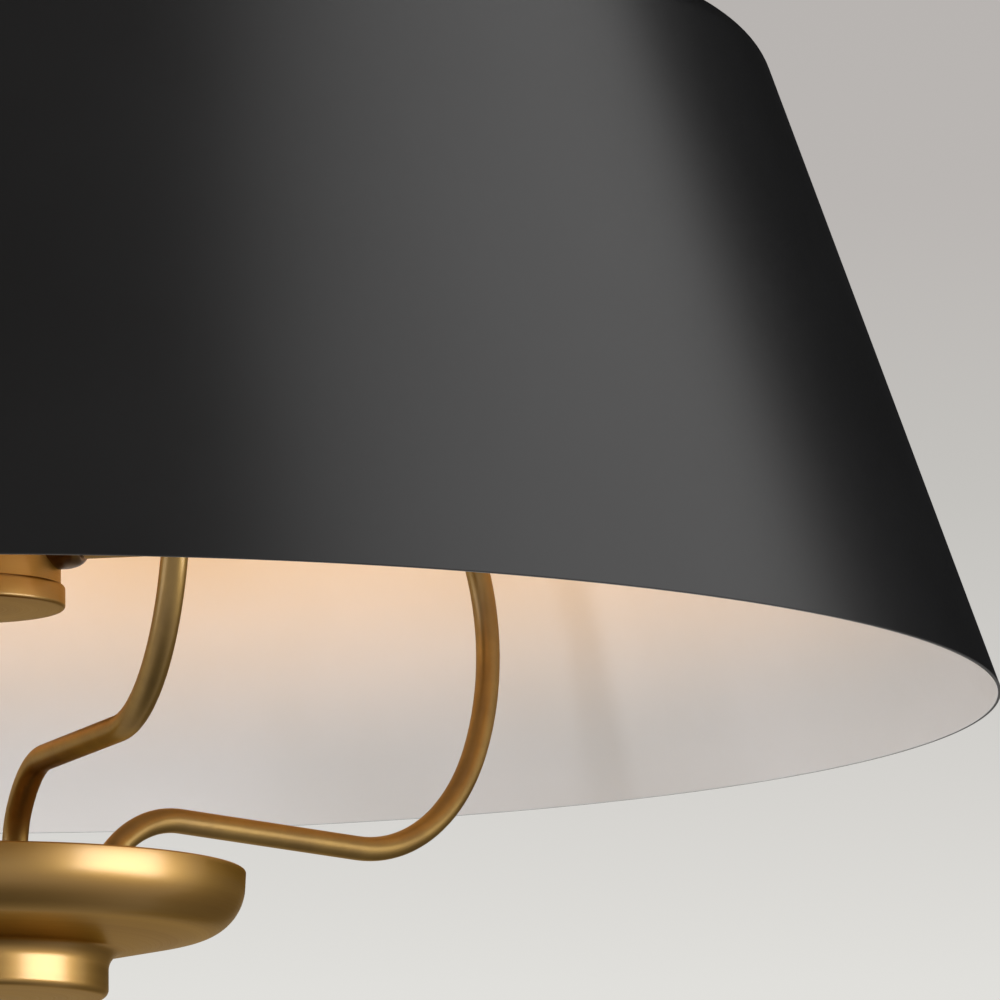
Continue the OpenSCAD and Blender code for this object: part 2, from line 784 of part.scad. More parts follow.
// Formed strap: two ends against the ceiling and a dropped middle, joined by sloping legs
module mounting_strap() {
    miter = strap_t * tan(atan(strap_drop / strap_leg_run) / 2);
    top = [[strap_pad_l / 2, -strap_drop], [strap_pad_l / 2 + strap_leg_run, 0], [strap_l / 2, 0]];
    under = [
        [strap_l / 2, -strap_t], [top[1][0] + miter, -strap_t], [top[0][0] + miter, pad_bottom_z],
    ];
    half = concat(top, under);
    side = concat(half, [for (i = [len(half) - 1 : -1 : 0]) [-half[i][0], half[i][1]]]);
    color(zinc)
        difference() {
            rotate([90, 0, 0]) linear_extrude(strap_w, center = true) polygon(side);
            for (s = [-1, 1]) {
                for (e = [-1, 1])
                    translate([s * slot_spacing / 2 + e * (slot_l - slot_w) / 2, 0, -strap_t - past])
                        cylinder(d = slot_w, h = strap_t + 2 * past);
                translate([s * slot_spacing / 2 - (slot_l - slot_w) / 2, -slot_w / 2, -strap_t - past])
                    cube([slot_l - slot_w, slot_w, strap_t + 2 * past]);
                translate([s * stud_spacing / 2, 0, -strap_t - past])
                    cylinder(d = stud_d + 2 * fit_gap, h = strap_t + 2 * past);
            }
            cylinder_from(pad_bottom_z - past, strap_t + 2 * past, thread_d + 2 * fit_gap);
            translate([ground_x, 0, 0])
                cylinder_from(pad_bottom_z - past, strap_t + 2 * past, stud_d + 2 * fit_gap);
        }
}

module ground_screw() {
    color(ground_green)
        translate([ground_x, 0, 0]) {
            cylinder_from(pad_bottom_z - ground_head_h, ground_head_h, ground_head_d);
            cylinder_from(pad_bottom_z, strap_t + ground_out, stud_d);
        }
}

module ceiling_nipple() {
    color(zinc) tube(thread_d, wire_bore_d, nipple_bottom_z, nipple_top_z);
}

module nipple_locknuts() {
    color(zinc) {
        hex_nut(locknut_d, thread_d + 2 * fit_gap, pad_top_z, locknut_h);
        hex_nut(locknut_d, thread_d + 2 * fit_gap, pad_bottom_z - locknut_h, locknut_h);
    }
}

// Half section of the canopy's skin, set in from the outside by a sheet
module canopy_section(inset_t) {
    r = canopy_d / 2 - inset_t;
    e = canopy_shoulder_r - inset_t;
    lip = inset_t > 0 ? past : 0;
    polygon(concat(
        [[0, inset_t]],
        arc([r - e, inset_t + e], e, -90, 0),
        [[r, canopy_h + lip], [0, canopy_h + lip]]
    ));
}

module canopy() {
    color(brass)
        translate([0, 0, canopy_bottom_z])
            difference() {
                rotate_extrude() canopy_section(0);
                rotate_extrude() canopy_section(canopy_t);
                translate([0, 0, -past]) cylinder(d = thread_d + 2 * fit_gap, h = canopy_t + 2 * past);
                for (s = [-1, 1])
                    translate([s * stud_spacing / 2, 0, -past])
                        cylinder(d = stud_d + 2 * fit_gap, h = canopy_t + 2 * past);
            }
}

module canopy_studs() {
    color(zinc)
        for (s = [-1, 1])
            translate([s * stud_spacing / 2, 0, 0])
                cylinder_from(stud_bottom_z, -stud_bottom_z, stud_d);
}

// Ball nuts under the canopy
module canopy_ball_nuts() {
    ball_z = canopy_bottom_z - ball_nut_neck_h - ball_nut_d / 2 + ball_nut_sink;
    color(brass)
        for (s = [-1, 1])
            translate([s * stud_spacing / 2, 0, 0])
                difference() {
                    union() {
                        cylinder_from(ball_z, canopy_bottom_z - ball_z, ball_nut_neck_d);
                        translate([0, 0, ball_z]) sphere(d = ball_nut_d);
                    }
                    cylinder_from(stud_bottom_z, canopy_h, stud_d + 2 * fit_gap);
                }
}

// Yoke: a flange under the canopy, a turned body and two ears with a slot between
module swivel_yoke() {
    color(brass)
        difference() {
            union() {
                cylinder_from(canopy_bottom_z - yoke_flange_h, yoke_flange_h, yoke_flange_d);
                cylinder_from(pivot_z, canopy_bottom_z - pivot_z, yoke_d);
                intersection() {
                    cylinder_from(pivot_z - yoke_d, yoke_d, yoke_d);
                    translate([0, 0, pivot_z]) rotate([90, 0, 0])
                        cylinder(d = yoke_d, h = 2 * yoke_d, center = true);
                }
            }
            translate([-yoke_d, -yoke_slot / 2, pivot_z - yoke_d])
                cube([2 * yoke_d, yoke_slot, slot_top_z - pivot_z + yoke_d]);
            cylinder_from(nipple_bottom_z, nipple_grip + past, thread_d + 2 * fit_gap);
            translate([0, 0, pivot_z]) rotate([90, 0, 0])
                cylinder(d = pin_d + 2 * fit_gap, h = 2 * yoke_d, center = true);
        }
}

// Headed pin through the yoke's ears
module swivel_pin() {
    half = yoke_d / 2;
    color(zinc)
        translate([0, 0, pivot_z]) rotate([90, 0, 0]) {
            cylinder(d = pin_d, h = 2 * half, center = true);
            for (s = [-1, 1])
                translate([0, 0, s * (half + pin_head_h / 2)])
                    cylinder(d = pin_head_d, h = pin_head_h, center = true);
        }
}

// Tongue that swings on the pin, with a collar for the stem
module swivel_tongue() {
    color(brass)
        difference() {
            union() {
                translate([0, 0, pivot_z]) rotate([90, 0, 0])
                    cylinder(r = tongue_r, h = tongue_t, center = true);
                translate([-tongue_r, -tongue_t / 2, tongue_collar_top_z])
                    cube([2 * tongue_r, tongue_t, tongue_reach]);
                cylinder_from(tongue_collar_bottom_z, tongue_collar_h, tongue_collar_d);
            }
            translate([0, 0, pivot_z]) rotate([90, 0, 0])
                cylinder(d = pin_d + 2 * fit_gap, h = 2 * yoke_d, center = true);
            cylinder_from(tongue_collar_bottom_z - past, stem_top_z - tongue_collar_bottom_z + past,
                stem_d + 2 * fit_gap);
        }
}

mounting_strap();
ceiling_nipple();
nipple_locknuts();
ground_screw();
canopy();
canopy_studs();
canopy_ball_nuts();
swivel_yoke();
swivel_pin();
swivel_tongue();
stem();
shade_cap();
shade_washer();
shade();
shade_clamp_nut();
column_tube();
upper_sleeve();
arm_hub();
arm_check_rings();
lower_sleeve();
socket_hub();
hub_nut();
hub_cap();
hub_cap_nut();
socket_nuts();
dish();
dish_spider();
arm_foot_nuts();
dish_nipple();
boss();
for (i = [0 : 2]) {
    arm(i);
    socket_collar(i);
    socket_husk(i);
    lampholder(i);
    bulb_base(i);
    bulb_glass(i);
}
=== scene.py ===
"""Looks of a ceiling lamp: a black conical shade with a white inside, three bent brass arms and a brass dish.

Every piece is in metres in the part's own frame, with the origin on the ceiling and +Z up.
"""

import logging
import math
from dataclasses import dataclass
from enum import Enum
from typing import Any, Iterable, Sequence

import bmesh
import bpy
from mathutils import Matrix, Vector


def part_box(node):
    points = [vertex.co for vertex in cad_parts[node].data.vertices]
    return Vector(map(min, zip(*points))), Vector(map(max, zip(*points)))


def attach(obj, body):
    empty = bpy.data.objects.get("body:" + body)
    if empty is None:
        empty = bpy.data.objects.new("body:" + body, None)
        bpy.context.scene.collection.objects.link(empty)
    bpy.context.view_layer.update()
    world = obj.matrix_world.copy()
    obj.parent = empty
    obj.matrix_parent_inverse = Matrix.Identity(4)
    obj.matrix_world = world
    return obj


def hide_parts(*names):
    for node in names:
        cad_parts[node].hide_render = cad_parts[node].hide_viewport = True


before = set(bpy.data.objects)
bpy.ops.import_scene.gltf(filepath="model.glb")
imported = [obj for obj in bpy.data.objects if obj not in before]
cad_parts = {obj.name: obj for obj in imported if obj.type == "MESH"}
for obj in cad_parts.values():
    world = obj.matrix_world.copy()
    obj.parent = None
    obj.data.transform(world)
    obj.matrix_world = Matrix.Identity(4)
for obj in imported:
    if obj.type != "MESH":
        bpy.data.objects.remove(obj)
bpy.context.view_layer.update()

LOG = logging.getLogger("ceiling_lamp")
MM = 0.001
MERGE = 1e-6
FULL_TURN = 2 * math.pi
RIGHT_ANGLE = math.pi / 2
ARM_ANGLES = (-90.0, 30.0, 150.0)
SOCKET_ANGLES = (-30.0, 90.0, 210.0)
# Distance of the arms' feet from the lamp's axis, bore over the threaded tubes, and gap round a rod, in mm
ARM_FOOT_R = 61.0
TUBE_BORE_R = 5.05
FIT_GAP = 0.05
# Span of a noise pattern's values that holds nearly all of it
NOISE_LOW = 0.3
NOISE_HIGH = 0.7
# Broken edges of a node that keeps its shape: rounds, and the angle in degrees that counts as an edge
EDGE_ROUNDS = 2
EDGE_ANGLE = 40.0

Point = tuple[float, float]


class Body(Enum):
    """Moving bodies that the pieces ride on."""

    MOUNT = "ceiling_mount"
    LAMP = "lamp"
    BULB_1 = "bulb_1"
    BULB_2 = "bulb_2"
    BULB_3 = "bulb_3"


class Slot(Enum):
    """Material slots of the record."""

    BRASS = "brass"
    DARK_BRASS = "dark_brass"
    BLACK_PAINT = "black_paint"
    ZINC = "zinc"
    GREEN = "ground_green"
    RUBBER = "rubber"
    PHENOLIC = "phenolic"
    GLASS = "opal_glass"


BULB_BODIES = (Body.BULB_1, Body.BULB_2, Body.BULB_3)


def linear(code: str) -> tuple[float, float, float, float]:
    """Turns an sRGB hex colour into linear light.

    Args:
        code: Six hex digits after a hash sign.

    Returns:
        Red, green, blue and alpha.
    """
    parts = [int(code[i:i + 2], 16) / 255 for i in (1, 3, 5)]
    light = [p / 12.92 if p <= 0.04045 else ((p + 0.055) / 1.055) ** 2.4 for p in parts]
    return light[0], light[1], light[2], 1.0


def add_node(tree: bpy.types.NodeTree, kind: str, values: dict[Any, Any] | None = None,
             links: dict[Any, bpy.types.NodeSocket] | None = None, **settings: Any) -> bpy.types.Node:
    """Adds one node with its settings, socket values and links.

    Args:
        tree: Node tree that takes the node.
        kind: Type name of the node.
        values: Socket name or number to its constant.
        links: Socket name or number to the output that feeds it.
        settings: Properties of the node.

    Returns:
        The new node.
    """
    node = tree.nodes.new(kind)
    for name, value in settings.items():
        setattr(node, name, value)
    for socket, value in (values or {}).items():
        node.inputs[socket].default_value = value
    for socket, source in (links or {}).items():
        tree.links.new(source, node.inputs[socket])
    return node


def new_material(name: str) -> tuple[bpy.types.Material, bpy.types.NodeTree]:
    """Makes a material with an empty node tree.

    Args:
        name: Name of the material.

    Returns:
        The material and its node tree.
    """
    material = bpy.data.materials.new(name)
    material.use_nodes = True
    material.node_tree.nodes.clear()
    return material, material.node_tree


@dataclass(frozen=True)
class Finish:
    """A surface with mottled colour, uneven gloss and a fine relief, all from real sizes.

    The mottle is the slow change of tone over the piece, and the grain is the fine relief
    that the tool, the brush or the spray gun leaves.
    """

    name: str
    dark: str
    light: str
    metallic: float
    roughness: float
    roughness_swing: float
    mottle_mm: float
    grain_mm: float
    grain_depth_mm: float
    specular: float = 0.5
    ior: float = 1.5
    turned: bool = False

    def material(self) -> bpy.types.Material:
        """Gives the finish's material, made once.

        Returns:
            The material.
        """
        made = bpy.data.materials.get(self.name)
        return made if made else self.make()

    def make(self) -> bpy.types.Material:
        """Builds the node tree of the finish.

        Returns:
            The new material.
        """
        material, tree = new_material(self.name)
        place = self.coordinates(tree)
        mottle = add_node(tree, "ShaderNodeTexNoise", {"Scale": 1 / (self.mottle_mm * MM), "Detail": 4.0},
                          {"Vector": place})
        tone = add_node(tree, "ShaderNodeMapRange", {"From Min": NOISE_LOW, "From Max": NOISE_HIGH},
                        {"Value": mottle.outputs[0]}, interpolation_type="SMOOTHSTEP")
        colour = add_node(tree, "ShaderNodeMix", {6: linear(self.dark), 7: linear(self.light)},
                          {0: tone.outputs[0]}, data_type="RGBA")
        grain = add_node(tree, "ShaderNodeTexNoise", {"Scale": 1 / (self.grain_mm * MM), "Detail": 2.0},
                         {"Vector": place})
        gloss = add_node(tree, "ShaderNodeMapRange", {
            "From Min": NOISE_LOW, "From Max": NOISE_HIGH,
            "To Min": self.roughness - self.roughness_swing, "To Max": self.roughness + self.roughness_swing,
        }, {"Value": grain.outputs[0]})
        relief = add_node(tree, "ShaderNodeBump", {"Strength": 1.0, "Distance": self.grain_depth_mm * MM},
                          {"Height": grain.outputs[0]})
        shader = add_node(tree, "ShaderNodeBsdfPrincipled", {
            "Metallic": self.metallic, "IOR": self.ior, "Specular IOR Level": self.specular,
        }, {"Base Color": colour.outputs[2], "Roughness": gloss.outputs[0], "Normal": relief.outputs[0]})
        surface = self.dress(tree, shader)
        add_node(tree, "ShaderNodeOutputMaterial", None, {"Surface": surface})
        return material

    def coordinates(self, tree: bpy.types.NodeTree) -> bpy.types.NodeSocket:
        """Gives the place that the patterns read: rings about the lamp's axis on a turned piece.

        Args:
            tree: Node tree of the material.

        Returns:
            A vector output.
        """
        place = add_node(tree, "ShaderNodeTexCoord").outputs["Object"]
        if not self.turned:
            return place
        flat = add_node(tree, "ShaderNodeVectorMath", {1: (1.0, 1.0, 0.0)}, {0: place}, operation="MULTIPLY")
        reach = add_node(tree, "ShaderNodeVectorMath", None, {0: flat.outputs[0]}, operation="LENGTH")
        axes = add_node(tree, "ShaderNodeSeparateXYZ", None, {0: place})
        return add_node(tree, "ShaderNodeCombineXYZ", None,
                        {"X": reach.outputs["Value"], "Z": axes.outputs["Z"]}).outputs[0]

    def dress(self, tree: bpy.types.NodeTree, shader: bpy.types.Node) -> bpy.types.NodeSocket:
        """Adds what a special finish has beyond the common one: nothing here.

        Args:
            tree: Node tree of the material.
            shader: The principled shader.

        Returns:
            The output that the surface takes.
        """
        return shader.outputs[0]


@dataclass(frozen=True)
class SatinBrass(Finish):
    """Brushed metal that keeps its colour at grazing angles and has a paler gleam on top."""

    grazing: str = "#e0c48a"
    gleam: str = "#fff3df"
    gleam_share: float = 0.075
    gleam_roughness: float = 0.25

    def dress(self, tree: bpy.types.NodeTree, shader: bpy.types.Node) -> bpy.types.NodeSocket:
        """Adds the gleam.

        Args:
            tree: Node tree of the material.
            shader: The principled shader.

        Returns:
            The output that the surface takes.
        """
        shader.inputs["Specular Tint"].default_value = linear(self.grazing)
        gleam = add_node(tree, "ShaderNodeBsdfGlossy",
                         {"Color": linear(self.gleam), "Roughness": self.gleam_roughness})
        return add_node(tree, "ShaderNodeMixShader", {0: self.gleam_share},
                        {1: shader.outputs[0], 2: gleam.outputs[0]}).outputs[0]


@dataclass(frozen=True)
class GlowingFinish(Finish):
    """Opal glass lit from inside: it glows most on its upper side, above the filament."""

    glow: str = "#ffffff"
    strength: float = 1.0
    low_strength: float = 1.0
    full_at: float = 0.6

    def dress(self, tree: bpy.types.NodeTree, shader: bpy.types.Node) -> bpy.types.NodeSocket:
        """Adds the glow.

        Args:
            tree: Node tree of the material.
            shader: The principled shader.

        Returns:
            The output that the surface takes.
        """
        faces = add_node(tree, "ShaderNodeTexCoord")
        axes = add_node(tree, "ShaderNodeSeparateXYZ", None, {0: faces.outputs["Normal"]})
        strength = add_node(tree, "ShaderNodeMapRange", {
            "From Min": 0.0, "From Max": self.full_at, "To Min": self.low_strength, "To Max": self.strength,
        }, {"Value": axes.outputs["Z"]})
        shader.inputs["Emission Color"].default_value = linear(self.glow)
        tree.links.new(strength.outputs[0], shader.inputs["Emission Strength"])
        return shader.outputs[0]


@dataclass(frozen=True)
class EnamelWithPaintedGlow(Finish):
    """White enamel with the bulbs' warm light painted on as a glow: strongest level with them, fading up and
    down.
    """

    # Colour, strength and heights of the painted glow that stands in for the bulbs' light
    glow: str = "#ffb64b"
    strength: float = 0.49
    glow_low_mm: float = -458.0
    glow_high_mm: float = -362.0
    fade_mm: float = -290.0
    faded: float = 0.25

    def dress(self, tree: bpy.types.NodeTree, shader: bpy.types.Node) -> bpy.types.NodeSocket:
        """Paints the bulbs' light on as a glow of the enamel itself.

        Args:
            tree: Node tree of the material.
            shader: The principled shader.

        Returns:
            The output that the surface takes.
        """
        # Painted light: the bulbs' warm light is emitted by the enamel in a band by height
        place = add_node(tree, "ShaderNodeTexCoord")
        axes = add_node(tree, "ShaderNodeSeparateXYZ", None, {0: place.outputs["Object"]})
        light = add_node(tree, "ShaderNodeMapRange", {
            "From Min": self.glow_low_mm * MM, "From Max": self.glow_high_mm * MM, "To Max": self.strength,
        }, {"Value": axes.outputs["Z"]}, interpolation_type="SMOOTHSTEP")
        fade = add_node(tree, "ShaderNodeMapRange", {
            "From Min": self.glow_high_mm * MM, "From Max": self.fade_mm * MM,
            "To Min": 1.0, "To Max": self.faded,
        }, {"Value": axes.outputs["Z"]}, interpolation_type="SMOOTHSTEP")
        both = add_node(tree, "ShaderNodeMath", None, {0: light.outputs[0], 1: fade.outputs[0]},
                        operation="MULTIPLY")
        shader.inputs["Emission Color"].default_value = linear(self.glow)
        tree.links.new(both.outputs[0], shader.inputs["Emission Strength"])
        return shader.outputs[0]


# Satin brass: warm, soft-edged reflections with a paler gleam on top
BRASS = SatinBrass("satin_brass", "#836326", "#937230", 1.0, 0.41, 0.03, 14.0, 0.5, 0.004)
# The same brass with the faint rings of the spinning lathe
TURNED_BRASS = SatinBrass("spun_satin_brass", "#956e2a", "#a57f3a", 1.0, 0.42, 0.04, 14.0, 0.35, 0.003,
                          turned=True)
# Brass darkened with an oxide bath: brown in the hollows, still metallic on the round
DARK_BRASS = Finish("darkened_brass", "#5d431f", "#755528", 1.0, 0.36, 0.05, 6.0, 0.5, 0.006)
# Satin black stoved paint: deep, with a broad soft sheen and a trace of orange peel
BLACK_PAINT = Finish("satin_black_paint", "#0a0a0a", "#0e0e0e", 0.0, 0.31, 0.02, 60.0, 1.4, 0.004)
# White stoved enamel inside the shade: even, slightly warm, nearly matt, with the bulbs' warm light painted
# on as an emitted glow
WHITE_ENAMEL_PAINTED_GLOW = EnamelWithPaintedGlow("white_enamel_painted_glow", "#d2d2ce", "#d7d7d4", 0.0, 0.5, 0.03, 80.0, 1.6, 0.004)
# Bright zinc plate on pressed steel: pale, a little cloudy
ZINC = Finish("zinc_plate", "#9da1a4", "#c2c5c7", 1.0, 0.34, 0.08, 5.0, 0.6, 0.006)
# Green-dyed zinc plate, the mark of an earth screw
GREEN_ZINC = Finish("green_zinc_plate", "#27613a", "#3f8a55", 0.9, 0.36, 0.06, 3.0, 0.4, 0.006)
# Black rubber washer: dull, with a moulded skin
RUBBER = Finish("black_rubber", "#1c1b1a", "#262423", 0.0, 0.78, 0.08, 4.0, 0.5, 0.02)
# Brown-black phenolic moulding: hard gloss with a flow mark here and there
PHENOLIC = Finish("phenolic_moulding", "#1d1512", "#30231c", 0.0, 0.28, 0.05, 4.0, 0.6, 0.004)
# Opal glass, lit warm from inside
OPAL_GLASS = GlowingFinish("opal_glass_lit", "#f3e6d2", "#fff6e8", 0.0, 0.14, 0.03, 18.0, 3.0, 0.003,
                           glow="#ffa95c", strength=1.8, low_strength=1.1)


def arc(centre: Point, radius: float, start: float, end: float, steps: int = 10) -> list[Point]:
    """Gives the points of an arc in a half section.

    Args:
        centre: Centre of the arc.
        radius: Radius of the arc.
        start: First angle in degrees.
        end: Last angle in degrees.
        steps: Number of steps.

    Returns:
        Radius and height of each point.
    """
    turns = [math.radians(start + (end - start) * i / steps) for i in range(steps + 1)]
    return [(centre[0] + radius * math.cos(a), centre[1] + radius * math.sin(a)) for a in turns]


def rounded_ring(bore: float, radius: float, low: float, high: float, edge: float,
                 steps: int = 4) -> list[Point]:
    """Gives the half section of a ring, sleeve or hub with rounded outer edges.

    Args:
        bore: Radius of the bore.
        radius: Outer radius.
        low: Lower height.
        high: Upper height.
        edge: Radius of the rounded edges.
        steps: Number of steps in each rounding.

    Returns:
        Radius and height of each point of the closed outline.
    """
    return [
        (bore, low), *arc((radius - edge, low + edge), edge, -90, 0, steps),
        *arc((radius - edge, high - edge), edge, 0, 90, steps), (bore, high),
    ]


def lathe(section: Sequence[Point], closed: bool, steps: int = 96) -> bmesh.types.BMesh:
    """Turns a half section about the Z axis.

    Args:
        section: Radius and height of each point, in mm.
        closed: Whether the outline closes on itself, as on a piece with a bore.
        steps: Number of steps round the axis.

    Returns:
        The turned mesh, in metres.
    """
    shape = bmesh.new()
    line = [shape.verts.new((r * MM, 0, z * MM)) for r, z in section]
    pairs = list(zip(line, line[1:]))
    if closed:
        pairs.append((line[-1], line[0]))
    edges = [shape.edges.new(pair) for pair in pairs]
    bmesh.ops.spin(shape, geom=[*line, *edges], cent=(0, 0, 0), axis=(0, 0, 1), dvec=(0, 0, 0),
                   angle=FULL_TURN, steps=steps, use_merge=True, use_duplicate=False)
    bmesh.ops.remove_doubles(shape, verts=shape.verts, dist=MERGE)
    bmesh.ops.recalc_face_normals(shape, faces=shape.faces)
    return shape


def move(shape: bmesh.types.BMesh, place: Matrix) -> bmesh.types.BMesh:
    """Moves a whole mesh.

    Args:
        shape: Mesh to move.
        place: Where it goes.

    Returns:
        The same mesh.
    """
    bmesh.ops.transform(shape, matrix=place, verts=shape.verts)
    return shape


def gather(shapes: Iterable[bmesh.types.BMesh]) -> bmesh.types.BMesh:
    """Puts several meshes into one, as separate islands.

    Args:
        shapes: Meshes, which are used up.

    Returns:
        One mesh.
    """
    whole = bmesh.new()
    for shape in shapes:
        carrier = bpy.data.meshes.new("carrier")
        shape.to_mesh(carrier)
        shape.free()
        whole.from_mesh(carrier)
        bpy.data.meshes.remove(carrier)
    return whole


def radial(angle: float, height: float) -> Matrix:
    """Gives the place of a piece whose own Z axis points away from the lamp's axis.

    Args:
        angle: Direction in degrees.
        height: Height in metres.

    Returns:
        The transform.
    """
    return (Matrix.Translation((0, 0, height)) @ Matrix.Rotation(math.radians(angle), 4, "Z")
            @ Matrix.Rotation(RIGHT_ANGLE, 4, "Y"))


def low_mm(node: str) -> float:
    """Gives the lowest height of a node in mm."""
    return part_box(node)[0].z / MM


def high_mm(node: str) -> float:
    """Gives the highest height of a node in mm."""
    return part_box(node)[1].z / MM


def span_mm(node: str) -> tuple[float, float]:
    """Gives the lowest and the highest height of a node in mm."""
    return low_mm(node), high_mm(node)


def radius_mm(node: str) -> float:
    """Gives the reach of a node along X in mm, which is the radius of a turned piece."""
    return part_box(node)[1].x / MM


def add_piece(shape: bmesh.types.BMesh, name: str, finishes: Sequence[Finish], body: Body,
              replaced: Sequence[str], sharp: float = 32.0) -> bpy.types.Object:
    """Makes a finished piece of the lamp.

    Args:
        shape: Mesh, which is used up.
        name: Name of the piece.
        finishes: Finishes in the order of the faces' material numbers.
        body: Body that it rides on.
        replaced: Nodes that it stands for.
        sharp: Angle in degrees past which an edge stays sharp.

    Returns:
        The new object.
    """
    mesh = bpy.data.meshes.new(name)
    shape.to_mesh(mesh)
    shape.free()
    mesh.shade_smooth()
    mesh.set_sharp_from_angle(angle=math.radians(sharp))
    for finish in finishes:
        mesh.materials.append(finish.material())
    piece = bpy.data.objects.new(name, mesh)
    bpy.context.scene.collection.objects.link(piece)
    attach(piece, body.value)
    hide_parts(*replaced)
    LOG.info("%s: %d faces, rides on %s", name, len(mesh.polygons), body.value)
    return piece


def add_turned(section: Sequence[Point], name: str, node: str, closed: bool = True, steps: int = 96,
               sharp: float = 32.0) -> None:
    """Makes a turned brass piece of the lamp.

    Args:
        section: Half section in mm.
        name: Name of the piece.
        node: Node that it stands for.
        closed: Whether the outline closes on itself, as on a piece with a bore.
        steps: Number of steps round the axis.
        sharp: Angle in degrees past which an edge stays sharp.
    """
    add_piece(lathe(section, closed, steps), name, [TURNED_BRASS], Body.LAMP, [node], sharp)


def dress_node(node: str, finish: Finish, edge_mm: float) -> None:
    """Gives a node that keeps its own shape a finish and softly broken edges.

    Args:
        node: Name of the node.
        finish: Its finish.
        edge_mm: Width of the broken edges.
    """
    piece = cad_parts[node]
    piece.data.materials.clear()
    piece.data.materials.append(finish.material())
    weld = piece.modifiers.new("weld", "WELD")
    weld.merge_threshold = MERGE
    bevel = piece.modifiers.new("broken_edges", "BEVEL")
    bevel.width = edge_mm * MM
    bevel.segments = EDGE_ROUNDS
    bevel.limit_method = "ANGLE"
    bevel.angle_limit = math.radians(EDGE_ANGLE)
    LOG.info("%s: keeps its shape", node)


@dataclass
class Shade:
    """The spun shade with its cap, washer and clamp nut. Sizes in mm."""

    top_d: float = 504.0
    shoulder_r: float = 17.0
    sheet: float = 1.2
    edge_wrap: float = 0.4
    rim_round: float = 0.3
    cap_foot_h: float = 3.0
    cap_neck_r: float = 9.5
    cap_step: float = 2.0
    cap_edge: float = 0.8
    stem_r: float = 6.55
    stem_seat: float = 10.0
    washer_edge: float = 0.3
    nut_edge: float = 1.0
    facing: float = 0.5
    rings: int = 256

    def skin(self, inset: float) -> list[Point]:
        """Gives one skin of the shade from its rim to its bore.

        Args:
            inset: Distance from the outside.

        Returns:
            Radius and height of each point.
        """
        rim_z, top_z = span_mm("shade")
        rim_r = radius_mm("shade")
        lean = math.atan((rim_r - self.top_d / 2) / (top_z - rim_z))
        slope_in = inset / math.cos(lean)
        r = self.shoulder_r - inset
        corner = self.top_d / 2 - slope_in + inset * math.tan(lean)
        back = r * math.tan((RIGHT_ANGLE - lean) / 2)
        shoulder = arc((corner - back, top_z - inset - r), r, math.degrees(lean), 90, 16)

        def wall(rise: float) -> Point:
            """Gives a point of the sloping wall at a rise above the rim."""
            return rim_r - slope_in - rise * math.tan(lean), rim_z + rise

        foot = [wall(self.rim_round), wall(self.edge_wrap)]
        return [*foot, *shoulder, (TUBE_BORE_R, top_z - inset)]

    def build(self) -> None:
        """Makes the shade and what holds it."""
        self.build_shell()
        self.build_cap()
        self.build_clamp()

    def build_shell(self) -> None:
        """Makes the sheet metal shell: black outside and round the rim, white inside."""
        outer, inner = self.skin(0), self.skin(self.sheet)
        rim_z = low_mm("shade")
        rim = [(inner[0][0] + self.rim_round, rim_z), (outer[0][0] - self.rim_round / 2, rim_z)]
        shape = lathe([*outer, *inner[::-1], *rim], True, self.rings)
        for face in shape.faces:
            centre = face.calc_center_median()
            outward = Vector((centre.x, centre.y, 0)).normalized()
            inside = face.normal.dot(outward) < -self.facing or face.normal.z < -self.facing
            face.material_index = int(inside and centre.z > rim_z * MM + MERGE)
        add_piece(shape, "shade_shell", [BLACK_PAINT, WHITE_ENAMEL_PAINTED_GLOW], Body.LAMP, ["shade"])

    def build_cap(self) -> None:
        """Makes the turned cap that the stem screws into, and its washer."""
        low, high = span_mm("shade_cap")
        foot_r = radius_mm("shade_cap")
        foot_top = low + self.cap_foot_h
        cove_w = foot_r - self.cap_neck_r - self.cap_step
        cove_h = high - foot_top - self.cap_foot_h
        cove = [(self.cap_neck_r + cove_w * (1 - math.sin(a)), foot_top + cove_h * (1 - math.cos(a)))
                for a in (RIGHT_ANGLE * i / 16 for i in range(17))]
        edge = self.cap_edge
        section = [
            (TUBE_BORE_R, low), *arc((foot_r - edge, low + edge), edge, -90, 0, 4),
            *arc((foot_r - edge, foot_top - edge), edge, 0, 90, 4), *cove,
            *arc((self.cap_neck_r - edge, high - edge), edge, 0, 90, 4), (self.stem_r, high),
            (self.stem_r, high - self.stem_seat), (TUBE_BORE_R, high - self.stem_seat),
        ]
        add_turned(section, "shade_cap_turned", "shade_cap")
        dress_node("shade_washer", RUBBER, self.washer_edge)

    def build_clamp(self) -> None:
        """Makes the round nut that clamps the shade from inside."""
        ring = rounded_ring(TUBE_BORE_R, radius_mm("shade_clamp_nut"), *span_mm("shade_clamp_nut"),
                            self.nut_edge)
        add_turned(ring, "shade_clamp_turned", "shade_clamp_nut")


